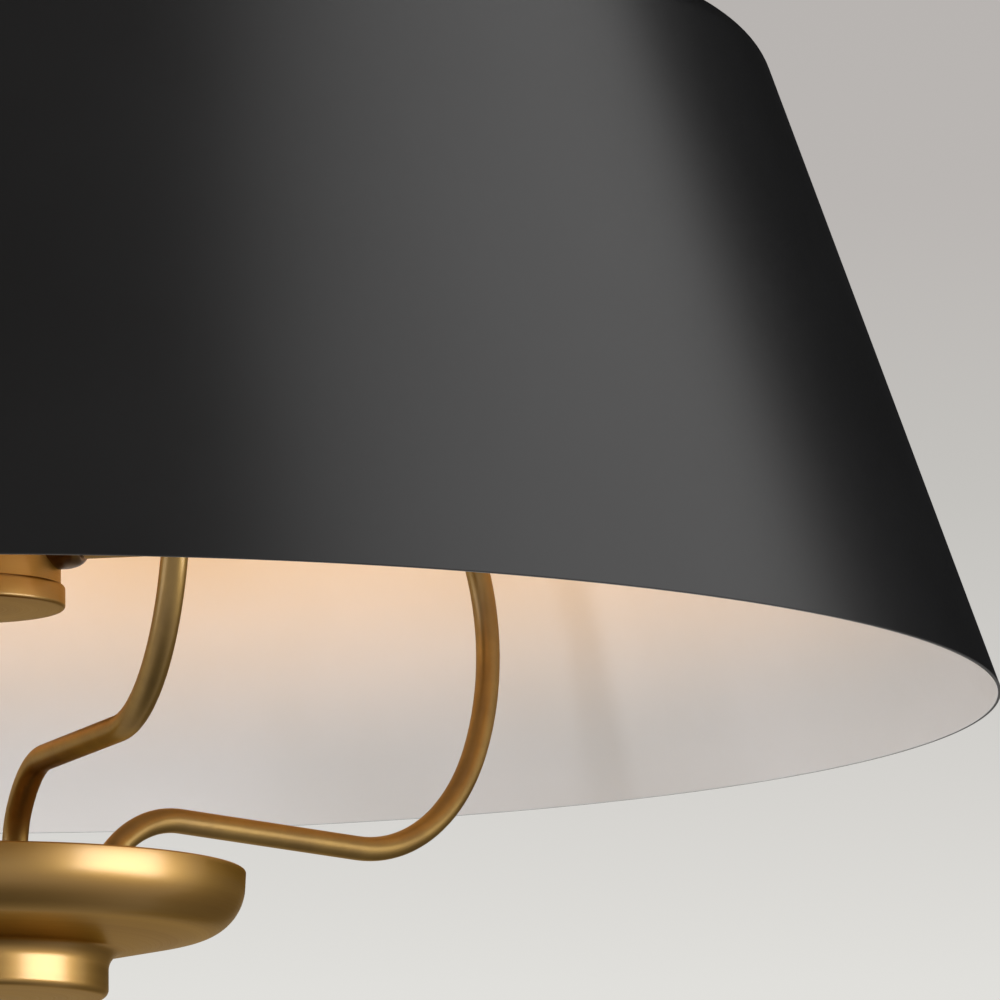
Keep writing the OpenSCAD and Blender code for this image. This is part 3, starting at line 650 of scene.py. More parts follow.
@dataclass
class Arms:
    """The three bent rods and the hub that they screw into. Sizes in mm."""

    rod_r: float = 4.0
    foot_rise: float = 12.0
    foot_bend_r: float = 18.0
    foot_turn: float = 45.0
    knee_bend_r: float = 42.0
    run: float = 83.5
    run_fall: float = 1.3
    outer_bend_r: float = 62.0
    outer_end: float = 66.0
    top_bend_r: float = 83.0
    end_r: float = 14.0
    hub_edge: float = 4.0
    ring_edge: float = 0.7
    ring_h: float = 5.0
    sides: int = 32
    bend_step: float = 3.0

    def build(self) -> None:
        """Makes the arms, their hub and the rings that lock them."""
        for number, angle in enumerate(ARM_ANGLES, 1):
            arm = move(self.rod(), Matrix.Rotation(math.radians(angle), 4, "Z"))
            add_piece(arm, f"arm_rod_{number}", [BRASS], Body.LAMP, [f"arm_{number}"])
        hub = rounded_ring(TUBE_BORE_R, radius_mm("arm_hub"), *span_mm("arm_hub"), self.hub_edge, 10)
        add_turned(hub, "arm_hub_turned", "arm_hub")
        self.build_rings()

    def rod(self) -> bmesh.types.BMesh:
        """Bends one rod in the XZ plane: foot, knee, run, outer bend, sweep and end.

        Returns:
            The rod's mesh.
        """
        shape = bmesh.new()
        at = Vector((ARM_FOOT_R, 0, low_mm("arm_1"))) * MM
        bmesh.ops.create_circle(shape, segments=self.sides, radius=self.rod_r * MM,
                                matrix=Matrix.Translation(at))
        loop = list(shape.edges)
        heading = 90.0
        knee_turn = 90 - self.foot_turn + self.run_fall
        bends = [(self.foot_bend_r, -self.foot_turn), (self.knee_bend_r, -knee_turn)]
        loop, at = self.straight(shape, loop, at, heading, self.foot_rise)
        for radius, turn in bends:
            loop, at, heading = self.bend(shape, loop, at, heading, radius, turn)
        loop, at = self.straight(shape, loop, at, heading, self.run)
        for radius, turn in ((self.outer_bend_r, self.outer_end + self.run_fall),
                             (self.top_bend_r, 180 - self.outer_end)):
            loop, at, heading = self.bend(shape, loop, at, heading, radius, turn)
        self.straight(shape, loop, at, heading, at.x / MM - self.end_r)
        bmesh.ops.holes_fill(shape, edges=shape.edges, sides=self.sides)
        bmesh.ops.recalc_face_normals(shape, faces=shape.faces)
        return shape

    def straight(self, shape: bmesh.types.BMesh, loop: list, at: Vector, heading: float,
                 length: float) -> tuple[list, Vector]:
        """Draws the rod out straight.

        Args:
            shape: Mesh of the rod.
            loop: Edges of its open end.
            at: Centre of that end.
            heading: Direction in degrees from level.
            length: Length in mm.

        Returns:
            The new end's edges and centre.
        """
        way = Vector((math.cos(math.radians(heading)), 0, math.sin(math.radians(heading)))) * length * MM
        drawn = bmesh.ops.extrude_edge_only(shape, edges=loop)["geom"]
        verts = [g for g in drawn if isinstance(g, bmesh.types.BMVert)]
        bmesh.ops.translate(shape, vec=way, verts=verts)
        ends = set(verts)
        edges = [g for g in drawn if isinstance(g, bmesh.types.BMEdge) and ends.issuperset(g.verts)]
        return edges, at + way

    def bend(self, shape: bmesh.types.BMesh, loop: list, at: Vector, heading: float, radius: float,
             turn: float) -> tuple[list, Vector, float]:
        """Bends the rod on a round former.

        Args:
            shape: Mesh of the rod.
            loop: Edges of its open end.
            at: Centre of that end.
            heading: Direction in degrees from level.
            radius: Radius of the bend in mm.
            turn: Turn in degrees, positive upwards.

        Returns:
            The new end's edges, centre and heading.
        """
        side = math.copysign(1, turn)
        across = Vector((-math.sin(math.radians(heading)), 0, math.cos(math.radians(heading))))
        centre = at + across * side * radius * MM
        spin = Matrix.Rotation(math.radians(turn), 4, (0, -1, 0))
        verts = {v for edge in loop for v in edge.verts}
        bent = bmesh.ops.spin(shape, geom=[*verts, *loop], cent=centre, axis=(0, -1, 0), dvec=(0, 0, 0),
                              angle=math.radians(turn), steps=math.ceil(abs(turn) / self.bend_step),
                              use_merge=False, use_duplicate=False)
        edges = [g for g in bent["geom_last"] if isinstance(g, bmesh.types.BMEdge)]
        return edges, centre + spin @ (at - centre), heading + turn

    def build_rings(self) -> None:
        """Makes the rings that lock the arms against the hub."""
        low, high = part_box("arm_check_rings")
        height = (low.z + high.z) / 2
        ring_r = (high.z - low.z) / 2 / MM
        inner = radius_mm("arm_hub")
        section = rounded_ring(self.rod_r + FIT_GAP, ring_r, inner, inner + self.ring_h, self.ring_edge)
        rings = [move(lathe(section, True, 48), radial(angle, height)) for angle in ARM_ANGLES]
        add_piece(gather(rings), "arm_lock_rings", [BRASS], Body.LAMP, ["arm_check_rings"])


@dataclass
class Dish:
    """The spun dish, the boss under it and the spider inside. Sizes in mm."""

    lean: float = 2.9
    corner_r: float = 16.2
    rise: float = 10.8
    sheet: float = 1.2
    flat_r: float = 50.9
    boss_cove: float = 6.0
    boss_edge: float = 2.6
    boss_wall: float = 4.0
    post_r: float = 12.0
    spider_edge: float = 0.6
    nipple_edge: float = 0.3
    dish_sharp: float = 45.0
    boss_sharp: float = 40.0
    nut_edge: float = 0.5
    nut_r: float = 7.0
    rings: int = 192

    def build(self) -> None:
        """Makes the dish, the boss and the fittings in the dish."""
        self.build_dish()
        self.build_boss()
        self.build_nuts()
        dress_node("dish_spider", ZINC, self.spider_edge)
        dress_node("dish_nipple", ZINC, self.nipple_edge)

    def skin(self, inset: float) -> list[Point]:
        """Gives one skin of the dish from its bore to its rim.

        Args:
            inset: Distance from the outside.

        Returns:
            Radius and height of each point.
        """
        bottom, top = span_mm("dish")
        height = top - bottom
        lean, rise = math.radians(self.lean), math.radians(self.rise)
        rim_r = radius_mm("dish") - inset / math.cos(lean)
        slope_z = inset - self.flat_r * math.tan(rise) + inset * (1 / math.cos(rise) - 1)
        r = self.corner_r - inset
        wall_r = rim_r - height * math.tan(lean) - r / math.cos(lean)
        slope_c = slope_z + r / math.cos(rise)
        centre_r = (wall_r + slope_c * math.tan(lean)) / (1 - math.tan(rise) * math.tan(lean))
        centre = (centre_r, slope_c + centre_r * math.tan(rise))
        flat = (inset - slope_z) / math.tan(rise)
        corner = arc(centre, r, self.rise - 90, -self.lean, 24)
        section = [(TUBE_BORE_R, inset), (flat, inset), *corner]
        return [(x, bottom + z) for x, z in section]

    def build_dish(self) -> None:
        """Makes the dish with a rounded lip."""
        outer, inner = self.skin(0), self.skin(self.sheet)
        top = high_mm("dish")
        half = self.sheet / 2
        lip = arc((radius_mm("dish") - half, top - half), half, 0, 180, 8)
        add_turned([*outer, *lip, *inner[::-1]], "dish_spun", "dish", steps=self.rings, sharp=self.dish_sharp)

    def build_boss(self) -> None:
        """Makes the hollow boss with a cove at the top and a rounded lower edge."""
        low, high = span_mm("boss")
        r = radius_mm("boss") - self.boss_cove
        wall = self.boss_wall
        outside = [
            (0, low), *arc((r - self.boss_edge, low + self.boss_edge), self.boss_edge, -90, 0),
            *arc((r + self.boss_cove, high - self.boss_cove), self.boss_cove, 180, 90, 16),
        ]
        inside = [
            (r - wall, high), (r - wall, low + wall), (self.post_r, low + wall), (self.post_r, high),
            (TUBE_BORE_R, high), (TUBE_BORE_R, low + wall), (0, low + wall),
        ]
        add_turned([*outside, *inside], "boss_turned", "boss", False, self.rings, self.boss_sharp)

    def build_nuts(self) -> None:
        """Makes the hexagon nuts on the arms' feet."""
        low, high = span_mm("arm_foot_nuts")
        nuts = []
        for angle in ARM_ANGLES:
            place = Matrix.Rotation(math.radians(angle), 4, "Z") @ Matrix.Translation((ARM_FOOT_R * MM, 0, 0))
            nuts.append(move(hexagon(self.nut_r, low, high, self.nut_edge), place))
        add_piece(gather(nuts), "arm_foot_hexagons", [ZINC], Body.LAMP, ["arm_foot_nuts"])


def hexagon(corner_r: float, low: float, high: float, edge: float) -> bmesh.types.BMesh:
    """Makes a hexagon nut about the Z axis with broken edges.

    Args:
        corner_r: Radius to the corners in mm.
        low: Lower height in mm.
        high: Upper height in mm.
        edge: Width of the broken edges in mm.

    Returns:
        The nut's mesh.
    """
    shape = bmesh.new()
    bmesh.ops.create_cone(shape, cap_ends=True, segments=6, radius1=corner_r * MM, radius2=corner_r * MM,
                          depth=(high - low) * MM, matrix=Matrix.Translation((0, 0, (low + high) / 2 * MM)))
    bmesh.ops.bevel(shape, geom=shape.edges, offset=edge * MM, affect="EDGES", segments=2, profile=0.5,
                    material=-1)
    return shape


@dataclass
class Sockets:
    """The cup with its cap, and the three sockets with their bulbs. Sizes in mm."""

    wall: float = 1.6
    cup_edge: float = 1.6
    cap_edge: float = 1.2
    cap_floor: float = 1.6
    lip_h: float = 4.0
    collar_r: float = 15.0
    collar_l: float = 8.2
    collar_flat: float = 2.0
    husk_r: float = 12.0
    husk_l: float = 52.0
    husk_wall: float = 0.9
    husk_chamfer: float = 1.0
    lip_bead: float = 0.5
    holder_r: float = 10.95
    holder_back: float = 2.0
    holder_chamfer: float = 0.6
    contact_gap: float = 0.3
    base_r: float = 6.75
    base_l: float = 30.0
    base_out: float = 1.5
    base_edge: float = 0.4
    # Contact and cone under the thread: radius and height of each turn of the outline
    base_foot: tuple[Point, ...] = ((0.0, 0.0), (2.4, 0.0), (3.2, 0.8), (5.15, 3.0), (6.25, 4.0))
    thread_start: float = 6.0
    thread_turns: int = 7
    thread_steps: int = 8
    thread_pitch: float = 2.8
    thread_depth: float = 0.45
    glass_r: float = 16.0
    glass_l: float = 74.0
    glass_neck_r: float = 5.7
    glass_neck_l: float = 5.0
    glass_belly: float = 0.42
    glass_tip: float = 0.85
    glass_steps: int = 48
    nut_edge: float = 0.3
    rings: int = 128

    def build(self) -> None:
        """Makes the cup, the cap and everything on the three socket axes."""
        self.build_cup()
        self.build_cap()
        for number, angle in enumerate(SOCKET_ANGLES, 1):
            self.build_socket(number, angle)
        for node in ("hub_nut", "socket_nuts"):
            dress_node(node, ZINC, self.nut_edge)

    def axis_height(self) -> float:
        """Gives the height of the socket axes in metres."""
        low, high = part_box("socket_husk_1")
        return (low.z + high.z) / 2

    def build_cup(self) -> None:
        """Makes the drawn cup, open below, with a rounded upper edge."""
        low, high = span_mm("socket_hub")
        r = radius_mm("socket_hub")
        edge = self.cup_edge
        section = [
            (r - self.wall, low), (r, low), *arc((r - edge, high - edge), edge, 0, 90, 6),
            (TUBE_BORE_R, high), (TUBE_BORE_R, high - self.wall), (r - self.wall, high - self.wall),
        ]
        add_turned(section, "socket_cup", "socket_hub", steps=self.rings)

    def build_cap(self) -> None:
        """Makes the cap that slips over the cup's lip, and the domed nut under it."""
        low, high = span_mm("hub_cap")
        r, cup_r = radius_mm("hub_cap"), radius_mm("socket_hub")
        edge = self.cap_edge
        section = [
            (TUBE_BORE_R, low), *arc((r - edge, low + edge), edge, -90, 0, 6),
            *arc((r - edge, high - edge), edge, 0, 90, 6), (cup_r + FIT_GAP, high),
            (cup_r + FIT_GAP, high - self.lip_h), (cup_r - self.wall, high - self.lip_h),
            (cup_r - self.wall, low + self.cap_floor), (TUBE_BORE_R, low + self.cap_floor),
        ]
        add_turned(section, "cup_cap", "hub_cap", steps=self.rings)
        dome_r = radius_mm("hub_cap_nut")
        dome = [(0, low), *arc((0, low), dome_r, 0, -90, 16)]
        add_turned(dome, "cap_dome_nut", "hub_cap_nut", False, 64)

    def build_socket(self, number: int, angle: float) -> None:
        """Makes one socket: collar, husk, lampholder, bulb base and glass.

        Args:
            number: Number of the socket.
            angle: Direction of its axis in degrees.
        """
        place = radial(angle, self.axis_height())
        cup_r = radius_mm("socket_hub")
        husk_start = cup_r + self.collar_l
        husk_end = husk_start + self.husk_l
        base_end = husk_end + self.base_out
        bulb = BULB_BODIES[number - 1]
        parts = (
            (self.collar(cup_r), "collar_turned", DARK_BRASS, Body.LAMP, Slot.DARK_BRASS, "socket_collar"),
            (self.husk(husk_start, husk_end), "husk_drawn", BRASS, Body.LAMP, Slot.BRASS, "socket_husk"),
            (self.holder(husk_start, husk_end), "lampholder_moulded", PHENOLIC, Body.LAMP, Slot.PHENOLIC,
             "lampholder"),
            (self.base(base_end), "bulb_screw_base", ZINC, bulb, Slot.ZINC, "bulb_base"),
            (self.glass(base_end), "bulb_candle_glass", OPAL_GLASS, bulb, Slot.GLASS, "bulb_glass"),
        )
        for shape, name, finish, body, slot, node in parts:
            add_piece(move(shape, place), f"{name}_{number}", [finish], body, [f"{node}_{number}"])

    def collar(self, cup_r: float) -> bmesh.types.BMesh:
        """Makes a collar whose back follows the cup's round wall.

        Args:
            cup_r: Radius of the cup.

        Returns:
            The collar about the Z axis.
        """
        step = self.collar_r - self.husk_r
        end = cup_r + self.collar_l
        nose_l = self.collar_l - self.collar_flat
        nose = [(self.collar_r - step * (1 - math.cos(a)), end - nose_l * (1 - math.sin(a)))
                for a in (RIGHT_ANGLE * i / 12 for i in range(13))]
        section = [(TUBE_BORE_R, cup_r), (self.collar_r, cup_r), *nose, (TUBE_BORE_R, end)]
        shape = lathe(section, True, 72)
        for vert in shape.verts:
            if vert.co.z <= cup_r * MM + MERGE:
                vert.co.z = math.sqrt((cup_r * MM) ** 2 - vert.co.y ** 2)
        return shape

    def husk(self, start: float, end: float) -> bmesh.types.BMesh:
        """Makes a drawn husk with a rolled lip.

        Args:
            start: Distance of its floor from the lamp's axis.
            end: Distance of its lip.

        Returns:
            The husk about the Z axis.
        """
        r, wall, bead, chamfer = self.husk_r, self.husk_wall, self.lip_bead, self.husk_chamfer
        section = [
            (TUBE_BORE_R, start), (r - chamfer, start), (r, start + chamfer), (r, end - 3 * bead),
            *arc((r - bead / 2, end - bead), bead, -30, 180, 8), (r - wall, end - 3 * bead),
            (r - wall, start + wall), (TUBE_BORE_R, start + wall),
        ]
        return lathe(section, True, 72)

    def holder(self, start: float, end: float) -> bmesh.types.BMesh:
        """Makes a moulded lampholder with a screw bore.

        Args:
            start: Distance of the husk's floor from the lamp's axis.
            end: Distance of the husk's lip.

        Returns:
            The lampholder about the Z axis.
        """
        back = start + self.husk_wall
        front = end - self.holder_back
        bore, r, chamfer = self.base_r + FIT_GAP, self.holder_r, self.holder_chamfer
        floor = end + self.base_out - self.base_l - self.contact_gap
        section = [
            (0, back), (r, back), (r, front - chamfer), (r - chamfer, front),
            (bore + chamfer, front), (bore, front - chamfer), (bore, floor), (0, floor),
        ]
        return lathe(section, False, 64)

    def base(self, end: float) -> bmesh.types.BMesh:
        """Makes a bulb's screw base: contact, cone and rolled thread.

        Args:
            end: Distance of its open end from the lamp's axis.

        Returns:
            The base about the Z axis.
        """
        start = end - self.base_l
        r, edge, steps = self.base_r, self.base_edge, self.thread_steps
        foot = [(x, start + z) for x, z in self.base_foot]
        thread = [(r - self.thread_depth * (1 - math.cos(FULL_TURN * i / steps)) / 2,
                   start + self.thread_start + self.thread_pitch * i / steps)
                  for i in range(steps * self.thread_turns + 1)]
        section = [*foot, *thread, (r, end - edge), (r - edge, end), (self.glass_neck_r, end)]
        return lathe(section, False, 48)

    def glass(self, start: float) -> bmesh.types.BMesh:
        """Makes a candle glass: a swelling belly and a blunt tip.

        Args:
            start: Distance of its neck from the lamp's axis.

        Returns:
            The glass about the Z axis.
        """
        def reach(t: float) -> float:
            """Gives the radius at a share of the length, from neck to tip."""
            if t < self.glass_belly:
                swell = (1 - math.cos(math.pi * t / self.glass_belly)) / 2
                return self.glass_neck_r + (self.glass_r - self.glass_neck_r) * swell
            close = RIGHT_ANGLE * (t - self.glass_belly) / (1 - self.glass_belly)
            return self.glass_r * max(0.0, math.cos(close)) ** self.glass_tip

        steps = self.glass_steps
        section = [(reach(i / steps), start + self.glass_l * i / steps) for i in range(steps)]
        tip = [(0, start + self.glass_l)]
        neck = [(0, start - self.glass_neck_l), (self.glass_neck_r, start - self.glass_neck_l)]
        return lathe([*neck, *section, *tip], False, 72)


@dataclass
class Column:
    """The stem, the sleeves on the threaded tube and the tube itself. Sizes in mm."""

    edge: float = 0.5
    tube_edge: float = 0.2

    def build(self) -> None:
        """Makes the stem and the sleeves."""
        for node, name in (("stem", "stem_tube"), ("upper_sleeve", "sleeve_above_hub"),
                           ("lower_sleeve", "sleeve_below_hub")):
            section = rounded_ring(TUBE_BORE_R, radius_mm(node), *span_mm(node), self.edge)
            add_piece(lathe(section, True, 72), name, [BRASS], Body.LAMP, [node])
        dress_node("column_tube", ZINC, self.tube_edge)


@dataclass
class CeilingMount:
    """The strap, the canopy and the swivel. Sizes in mm."""

    canopy_shoulder: float = 8.0
    canopy_sheet: float = 1.0
    nut_r: float = 8.0
    nut_h: float = 4.0
    nut_edge: float = 0.4
    stud_at: float = 51.0
    stud_plain: float = 0.5
    stud_r: float = 2.0
    stud_pitch: float = 0.8
    stud_depth: float = 0.3
    ball_r: float = 4.5
    neck_r: float = 3.2

    def build(self) -> None:
        """Makes the pieces on the ceiling and the swivel."""
        self.build_canopy()
        self.build_studs()
        self.build_locknuts()
        for node, finish, edge in (("mounting_strap", ZINC, 0.4), ("ceiling_nipple", ZINC, 0.3),
                                   ("ground_screw", GREEN_ZINC, 0.3), ("swivel_pin", BRASS, 0.4),
                                   ("swivel_yoke", BRASS, 0.5), ("swivel_tongue", BRASS, 0.5)):
            dress_node(node, finish, edge)

    def build_canopy(self) -> None:
        """Makes the spun canopy."""
        low, high = span_mm("canopy")
        r, t, e = radius_mm("canopy"), self.canopy_sheet, self.canopy_shoulder
        section = [
            (TUBE_BORE_R, low), *arc((r - e, low + e), e, -90, 0, 12), (r, high), (r - t, high),
            *arc((r - e, low + e), e - t, 0, -90, 12), (TUBE_BORE_R, low + t),
        ]
        add_piece(lathe(section, True, 128), "canopy_spun", [TURNED_BRASS], Body.MOUNT,
                  ["canopy"])

    def build_studs(self) -> None:
        """Makes the threaded studs and their ball nuts."""
        low, high = span_mm("canopy_studs")
        turns = int((high - low - 2 * self.stud_plain) / self.stud_pitch)
        thread = []
        for i in range(turns):
            z = low + self.stud_plain + i * self.stud_pitch
            thread += [(self.stud_r - self.stud_depth, z), (self.stud_r, z + self.stud_pitch / 2)]
        section = [(0, low), *thread, (self.stud_r - self.stud_depth, high), (0, high)]
        canopy_z = low_mm("canopy")
        ball_z = low_mm("canopy_ball_nuts") + self.ball_r
        start = math.degrees(math.acos(self.neck_r / self.ball_r))
        ball = [(0, ball_z - self.ball_r), *arc((0, ball_z), self.ball_r, -89, start, 16),
                (self.neck_r, canopy_z), (0, canopy_z)]
        sides = [Matrix.Translation((s * self.stud_at * MM, 0, 0)) for s in (-1, 1)]
        studs = [move(lathe(section, False, 24), place) for place in sides]
        balls = [move(lathe(ball, False, 48), place) for place in sides]
        add_piece(gather(studs), "canopy_threaded_studs", [ZINC], Body.MOUNT, ["canopy_studs"])
        add_piece(gather(balls), "canopy_balls", [BRASS], Body.MOUNT, ["canopy_ball_nuts"])

    def build_locknuts(self) -> None:
        """Makes the two locknuts on the nipple, above and below the strap."""
        low, high = span_mm("nipple_locknuts")
        spans = ((low, low + self.nut_h), (high - self.nut_h, high))
        nuts = [hexagon(self.nut_r, *span, self.nut_edge) for span in spans]
        add_piece(gather(nuts), "nipple_hexagons", [ZINC], Body.MOUNT, ["nipple_locknuts"])


@dataclass(frozen=True)
class SoftBox:
    """A soft light: turn and rise in degrees, reach and size in metres, and how bright its middle is.

    A spread below 180 degrees makes its image fade towards the edges. One that isn't mirrored lights
    the enamel and leaves no image of itself in the brass.
    """

    name: str
    turn: float
    rise: float
    reach: float
    size: tuple[float, float]
    glow: float
    tint: str = "#ffffff"
    spread: float = 180.0
    mirrored: bool = True

    def power(self) -> float:
        """Gives the power in watts that makes the middle as bright as the glow says."""
        half = math.radians(self.spread) / 2
        return self.glow * math.pi * self.size[0] * self.size[1] * (1 - half / math.tan(half))


@dataclass(frozen=True)
class Card:
    """An upright card that only reflections show: turn in degrees, lengths in metres, and its grey."""

    name: str
    turn: float
    reach: float
    half: float
    low: float
    high: float
    grey: str


@dataclass
class Studio:
    """Camera, floor, backdrop light and lamps. Lengths in metres, angles in degrees."""

    camera_reach: float = 2.6975
    camera_drop: float = 0.3628
    camera_angle: float = -104.5
    yaw: float = 3.54
    pitch: float = 9.05
    lens: float = 311.4
    sensor: float = 36.0
    clip_end: float = 200.0
    floor_z: float = -2.3
    floor_half: float = 40.0
    lamps: tuple[SoftBox, ...] = (
        SoftBox("key_softbox", 66.0, -2.0, 2.2, (1.6, 1.3), 6.6, "#f4f6ff"),
        SoftBox("high_softbox", 76.0, 38.5, 2.2, (2.5, 1.1), 1.66, spread=120.0),
        SoftBox("left_softbox", -80.0, 4.0, 2.6, (2.0, 2.0), 1.3),
        SoftBox("fill_softbox", -6.0, -25.0, 3.5, (3.0, 3.0), 1.5, "#ebf0fe", mirrored=False),
        SoftBox("side_lamp", -36.0, -8.0, 3.2, (0.85, 0.85), 18.5, "#f0f4ff", mirrored=False),
    )
    cards: tuple[Card, ...] = (
        Card("black_flag", 150.0, 1.4, 1.1, -0.42, 1.78, "#060606"),
        Card("low_card", 136.0, 1.4, 0.7, -1.9, -0.42, "#7c7a78"),
        Card("camera_card", 0.0, 3.2, 1.7, -0.6, 1.2, "#979491"),
    )
    floor_colour: str = "#eceae6"
    floor_image: str = "#cecbc7"
    floor_near: float = 0.3
    floor_far: float = 2.2
    floor_near_light: float = 0.25
    floor_pale: float = 0.65
    fade_far: float = 9.0
    backdrop_top: float = 0.25
    backdrop: tuple[tuple[float, str], ...] = (
        (0.0, "#e6e5e1"), (0.1, "#e1e0dc"), (0.123, "#d5d3cf"), (0.157, "#c4c2be"), (0.19, "#bab6b3"),
        (0.25, "#b5b1ae"), (0.55, "#84817e"), (1.0, "#7c7977"),
    )

    def build(self) -> None:
        """Makes the camera, the floor, the backdrop and the lamps."""
        scene = bpy.context.scene
        scene.view_settings.view_transform = "Standard"
        self.build_camera()
        self.build_floor()
        self.build_world()
        self.build_lamps()
        self.build_cards()

    def build_camera(self) -> None:
        """Puts the camera at the photograph's viewing angle."""
        data = bpy.data.cameras.new("camera")
        data.lens = self.lens
        data.sensor_width = self.sensor
        data.clip_end = self.clip_end
        camera = bpy.data.objects.new("camera", data)
        bpy.context.scene.collection.objects.link(camera)
        angle = math.radians(self.camera_angle)
        out = Vector((math.cos(angle), math.sin(angle), 0))
        right = Vector((-math.sin(angle), math.cos(angle), 0))
        rim_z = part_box("shade")[0].z
        yaw, pitch = math.radians(self.yaw), math.radians(self.pitch)
        ahead = -out * math.cos(pitch) + Vector((0, 0, math.sin(pitch)))
        above = right.cross(ahead)
        look = ahead * math.cos(yaw) + right * math.sin(yaw)
        side = right * math.cos(yaw) - ahead * math.sin(yaw)
        camera.location = out * self.camera_reach + Vector((0, 0, rim_z - self.camera_drop))
        camera.rotation_mode = "QUATERNION"
        camera.rotation_quaternion = Matrix((side, above, -look)).transposed().to_quaternion()
        bpy.context.scene.camera = camera

    def build_floor(self) -> None:
        """Makes the plain pale floor, far below the lamp and seen only from above."""
        shape = bmesh.new()
        bmesh.ops.create_grid(shape, x_segments=1, y_segments=1, size=self.floor_half,
                              matrix=Matrix.Translation((0, 0, self.floor_z)))
        mesh = bpy.data.meshes.new("floor")
        shape.to_mesh(mesh)
        shape.free()
        floor = bpy.data.objects.new("floor", mesh)
        bpy.context.scene.collection.objects.link(floor)
        mesh.materials.append(self.pale_floor())

    def pale_floor(self) -> bpy.types.Material:
        """Makes the floor's material: it fades into the backdrop far off, and is clear from below.

        Metal sees a plain image of the floor, with painted shade right under the lamp: the image is dimmer
        there.

        Returns:
            The material.
        """
        material, tree = new_material("pale_floor")
        side = add_node(tree, "ShaderNodeNewGeometry")
        path = add_node(tree, "ShaderNodeLightPath")
        place = add_node(tree, "ShaderNodeTexCoord")
        far = add_node(tree, "ShaderNodeVectorMath", {1: (0.0, 0.0, self.floor_z)},
                       {0: place.outputs["Object"]}, operation="DISTANCE")
        # Painted shade in the floor's image: dimmest right under the lamp, full brightness from floor_far out
        light = add_node(tree, "ShaderNodeMapRange", {
            "From Min": self.floor_near, "From Max": self.floor_far, "To Min": self.floor_near_light,
        }, {"Value": far.outputs["Value"]}, interpolation_type="SMOOTHSTEP")
        matt = add_node(tree, "ShaderNodeBsdfDiffuse", {"Color": linear(self.floor_colour)})
        pale = add_node(tree, "ShaderNodeEmission", {"Color": linear(self.backdrop[0][1])})
        fade = add_node(tree, "ShaderNodeMapRange", {
            "From Min": self.floor_near, "From Max": self.fade_far, "To Min": self.floor_pale,
        }, {"Value": far.outputs["Value"]}, interpolation_type="SMOOTHSTEP")
        image = add_node(tree, "ShaderNodeEmission", {"Color": linear(self.floor_image)},
                         {"Strength": light.outputs[0]})
        share = add_node(tree, "ShaderNodeMath", None,
                         {0: path.outputs["Is Camera Ray"], 1: fade.outputs[0]}, operation="MULTIPLY")
        seen = add_node(tree, "ShaderNodeMixShader", None,
                        {0: share.outputs[0], 1: matt.outputs[0], 2: pale.outputs[0]})
        floor_face = add_node(tree, "ShaderNodeMixShader", None,
                              {0: path.outputs["Is Glossy Ray"], 1: seen.outputs[0], 2: image.outputs[0]})
        clear = add_node(tree, "ShaderNodeBsdfTransparent")
        both = add_node(tree, "ShaderNodeMixShader", None,
                        {0: side.outputs["Backfacing"], 1: floor_face.outputs[0], 2: clear.outputs[0]})
        add_node(tree, "ShaderNodeOutputMaterial", None, {"Surface": both.outputs[0]})
        return material

    def build_world(self) -> None:
        """Makes the backdrop: pale at the horizon, greyer above, and darkest high up out of view."""
        world = bpy.data.worlds.new("studio")
        world.use_nodes = True
        bpy.context.scene.world = world
        tree = world.node_tree
        tree.nodes.clear()
        way = add_node(tree, "ShaderNodeTexCoord")
        axes = add_node(tree, "ShaderNodeSeparateXYZ", None, {0: way.outputs["Generated"]})
        path = add_node(tree, "ShaderNodeLightPath")
        top = add_node(tree, "ShaderNodeMath", {1: self.backdrop_top - 1.0, 2: 1.0},
                       {0: path.outputs["Is Camera Ray"]}, operation="MULTIPLY_ADD")
        height = add_node(tree, "ShaderNodeMath", None, {0: axes.outputs["Z"], 1: top.outputs[0]},
                          operation="MINIMUM")
        shades = add_node(tree, "ShaderNodeValToRGB", None, {0: height.outputs[0]})
        ramp = shades.color_ramp
        while len(ramp.elements) < len(self.backdrop):
            ramp.elements.new(0.5)
        for stop, (place, code) in zip(ramp.elements, self.backdrop):
            stop.position = place
            stop.color = linear(code)
        light = add_node(tree, "ShaderNodeBackground", None, {"Color": shades.outputs[0]})
        add_node(tree, "ShaderNodeOutputWorld", None, {"Surface": light.outputs[0]})

    def way(self, turn: float, rise: float) -> Vector:
        """Gives a direction away from the lamp.

        Args:
            turn: Angle to the camera's right in degrees, from the camera's own direction.
            rise: Angle above level in degrees.

        Returns:
            A vector of length one.
        """
        angle, up = math.radians(self.camera_angle + turn), math.radians(rise)
        return Vector((math.cos(angle) * math.cos(up), math.sin(angle) * math.cos(up), math.sin(up)))

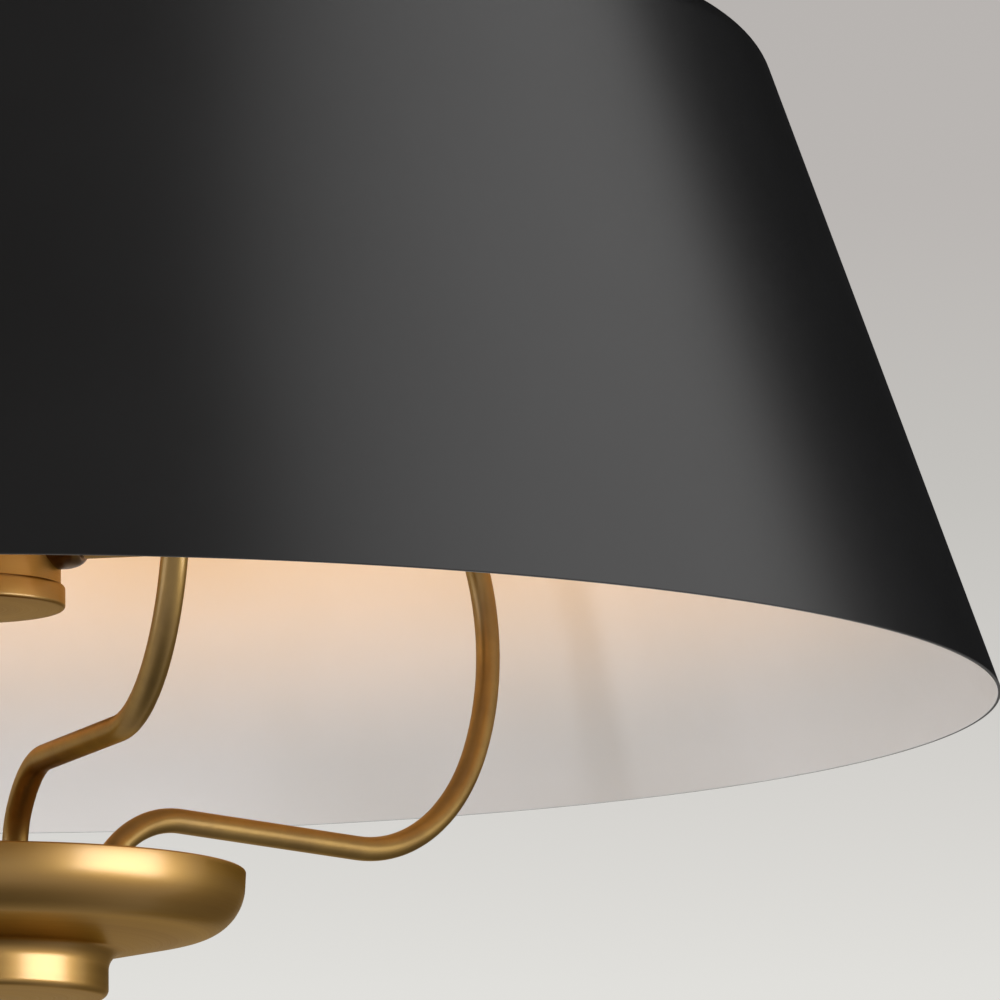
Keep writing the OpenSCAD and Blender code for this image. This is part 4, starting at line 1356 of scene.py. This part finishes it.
    def build_lamps(self) -> None:
        """Makes the soft boxes, which face the shade's rim."""
        centre = Vector((0, 0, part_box("shade")[0].z))
        for box in self.lamps:
            data = bpy.data.lights.new(box.name, "AREA")
            data.shape = "RECTANGLE"
            data.size, data.size_y = box.size
            data.color = linear(box.tint)[:3]
            data.spread = math.radians(box.spread)
            data.energy = box.power()
            lamp = bpy.data.objects.new(box.name, data)
            bpy.context.scene.collection.objects.link(lamp)
            way = self.way(box.turn, box.rise)
            lamp.location = centre + way * box.reach
            lamp.rotation_mode = "QUATERNION"
            lamp.rotation_quaternion = (-way).to_track_quat("-Z", "Y")
            lamp.visible_camera = False
            lamp.visible_glossy = box.mirrored

    def build_cards(self) -> None:
        """Makes the cards, which keep parts of the reflections dark and cast no shadow."""
        for card in self.cards:
            way = self.way(card.turn, 0)
            tall = (card.high - card.low) / 2
            centre = way * card.reach + Vector((0, 0, card.low + tall))
            turn = way.to_track_quat("Z", "Y").to_matrix().to_4x4()
            shape = bmesh.new()
            bmesh.ops.create_grid(shape, x_segments=1, y_segments=1, size=1.0, matrix=(
                Matrix.Translation(centre) @ turn @ Matrix.Diagonal((card.half, tall, 1.0, 1.0))))
            mesh = bpy.data.meshes.new(card.name)
            shape.to_mesh(mesh)
            shape.free()
            plate = bpy.data.objects.new(card.name, mesh)
            bpy.context.scene.collection.objects.link(plate)
            mesh.materials.append(self.grey(card))
            plate.visible_camera = False
            plate.visible_diffuse = False
            plate.visible_shadow = False

    def grey(self, card: Card) -> bpy.types.Material:
        """Makes the even grey of a card.

        Args:
            card: The card.

        Returns:
            Its material.
        """
        material, tree = new_material(card.name)
        face = add_node(tree, "ShaderNodeEmission", {"Color": linear(card.grey)})
        add_node(tree, "ShaderNodeOutputMaterial", None, {"Surface": face.outputs[0]})
        return material


def main() -> None:
    """Builds the lamp and the studio."""
    logging.basicConfig(level=logging.INFO, format="%(name)s: %(message)s")
    for assembly in (Studio(), Shade(), Arms(), Dish(), Sockets(), Column(), CeilingMount()):
        assembly.build()


if __name__ == "__main__":
    main()
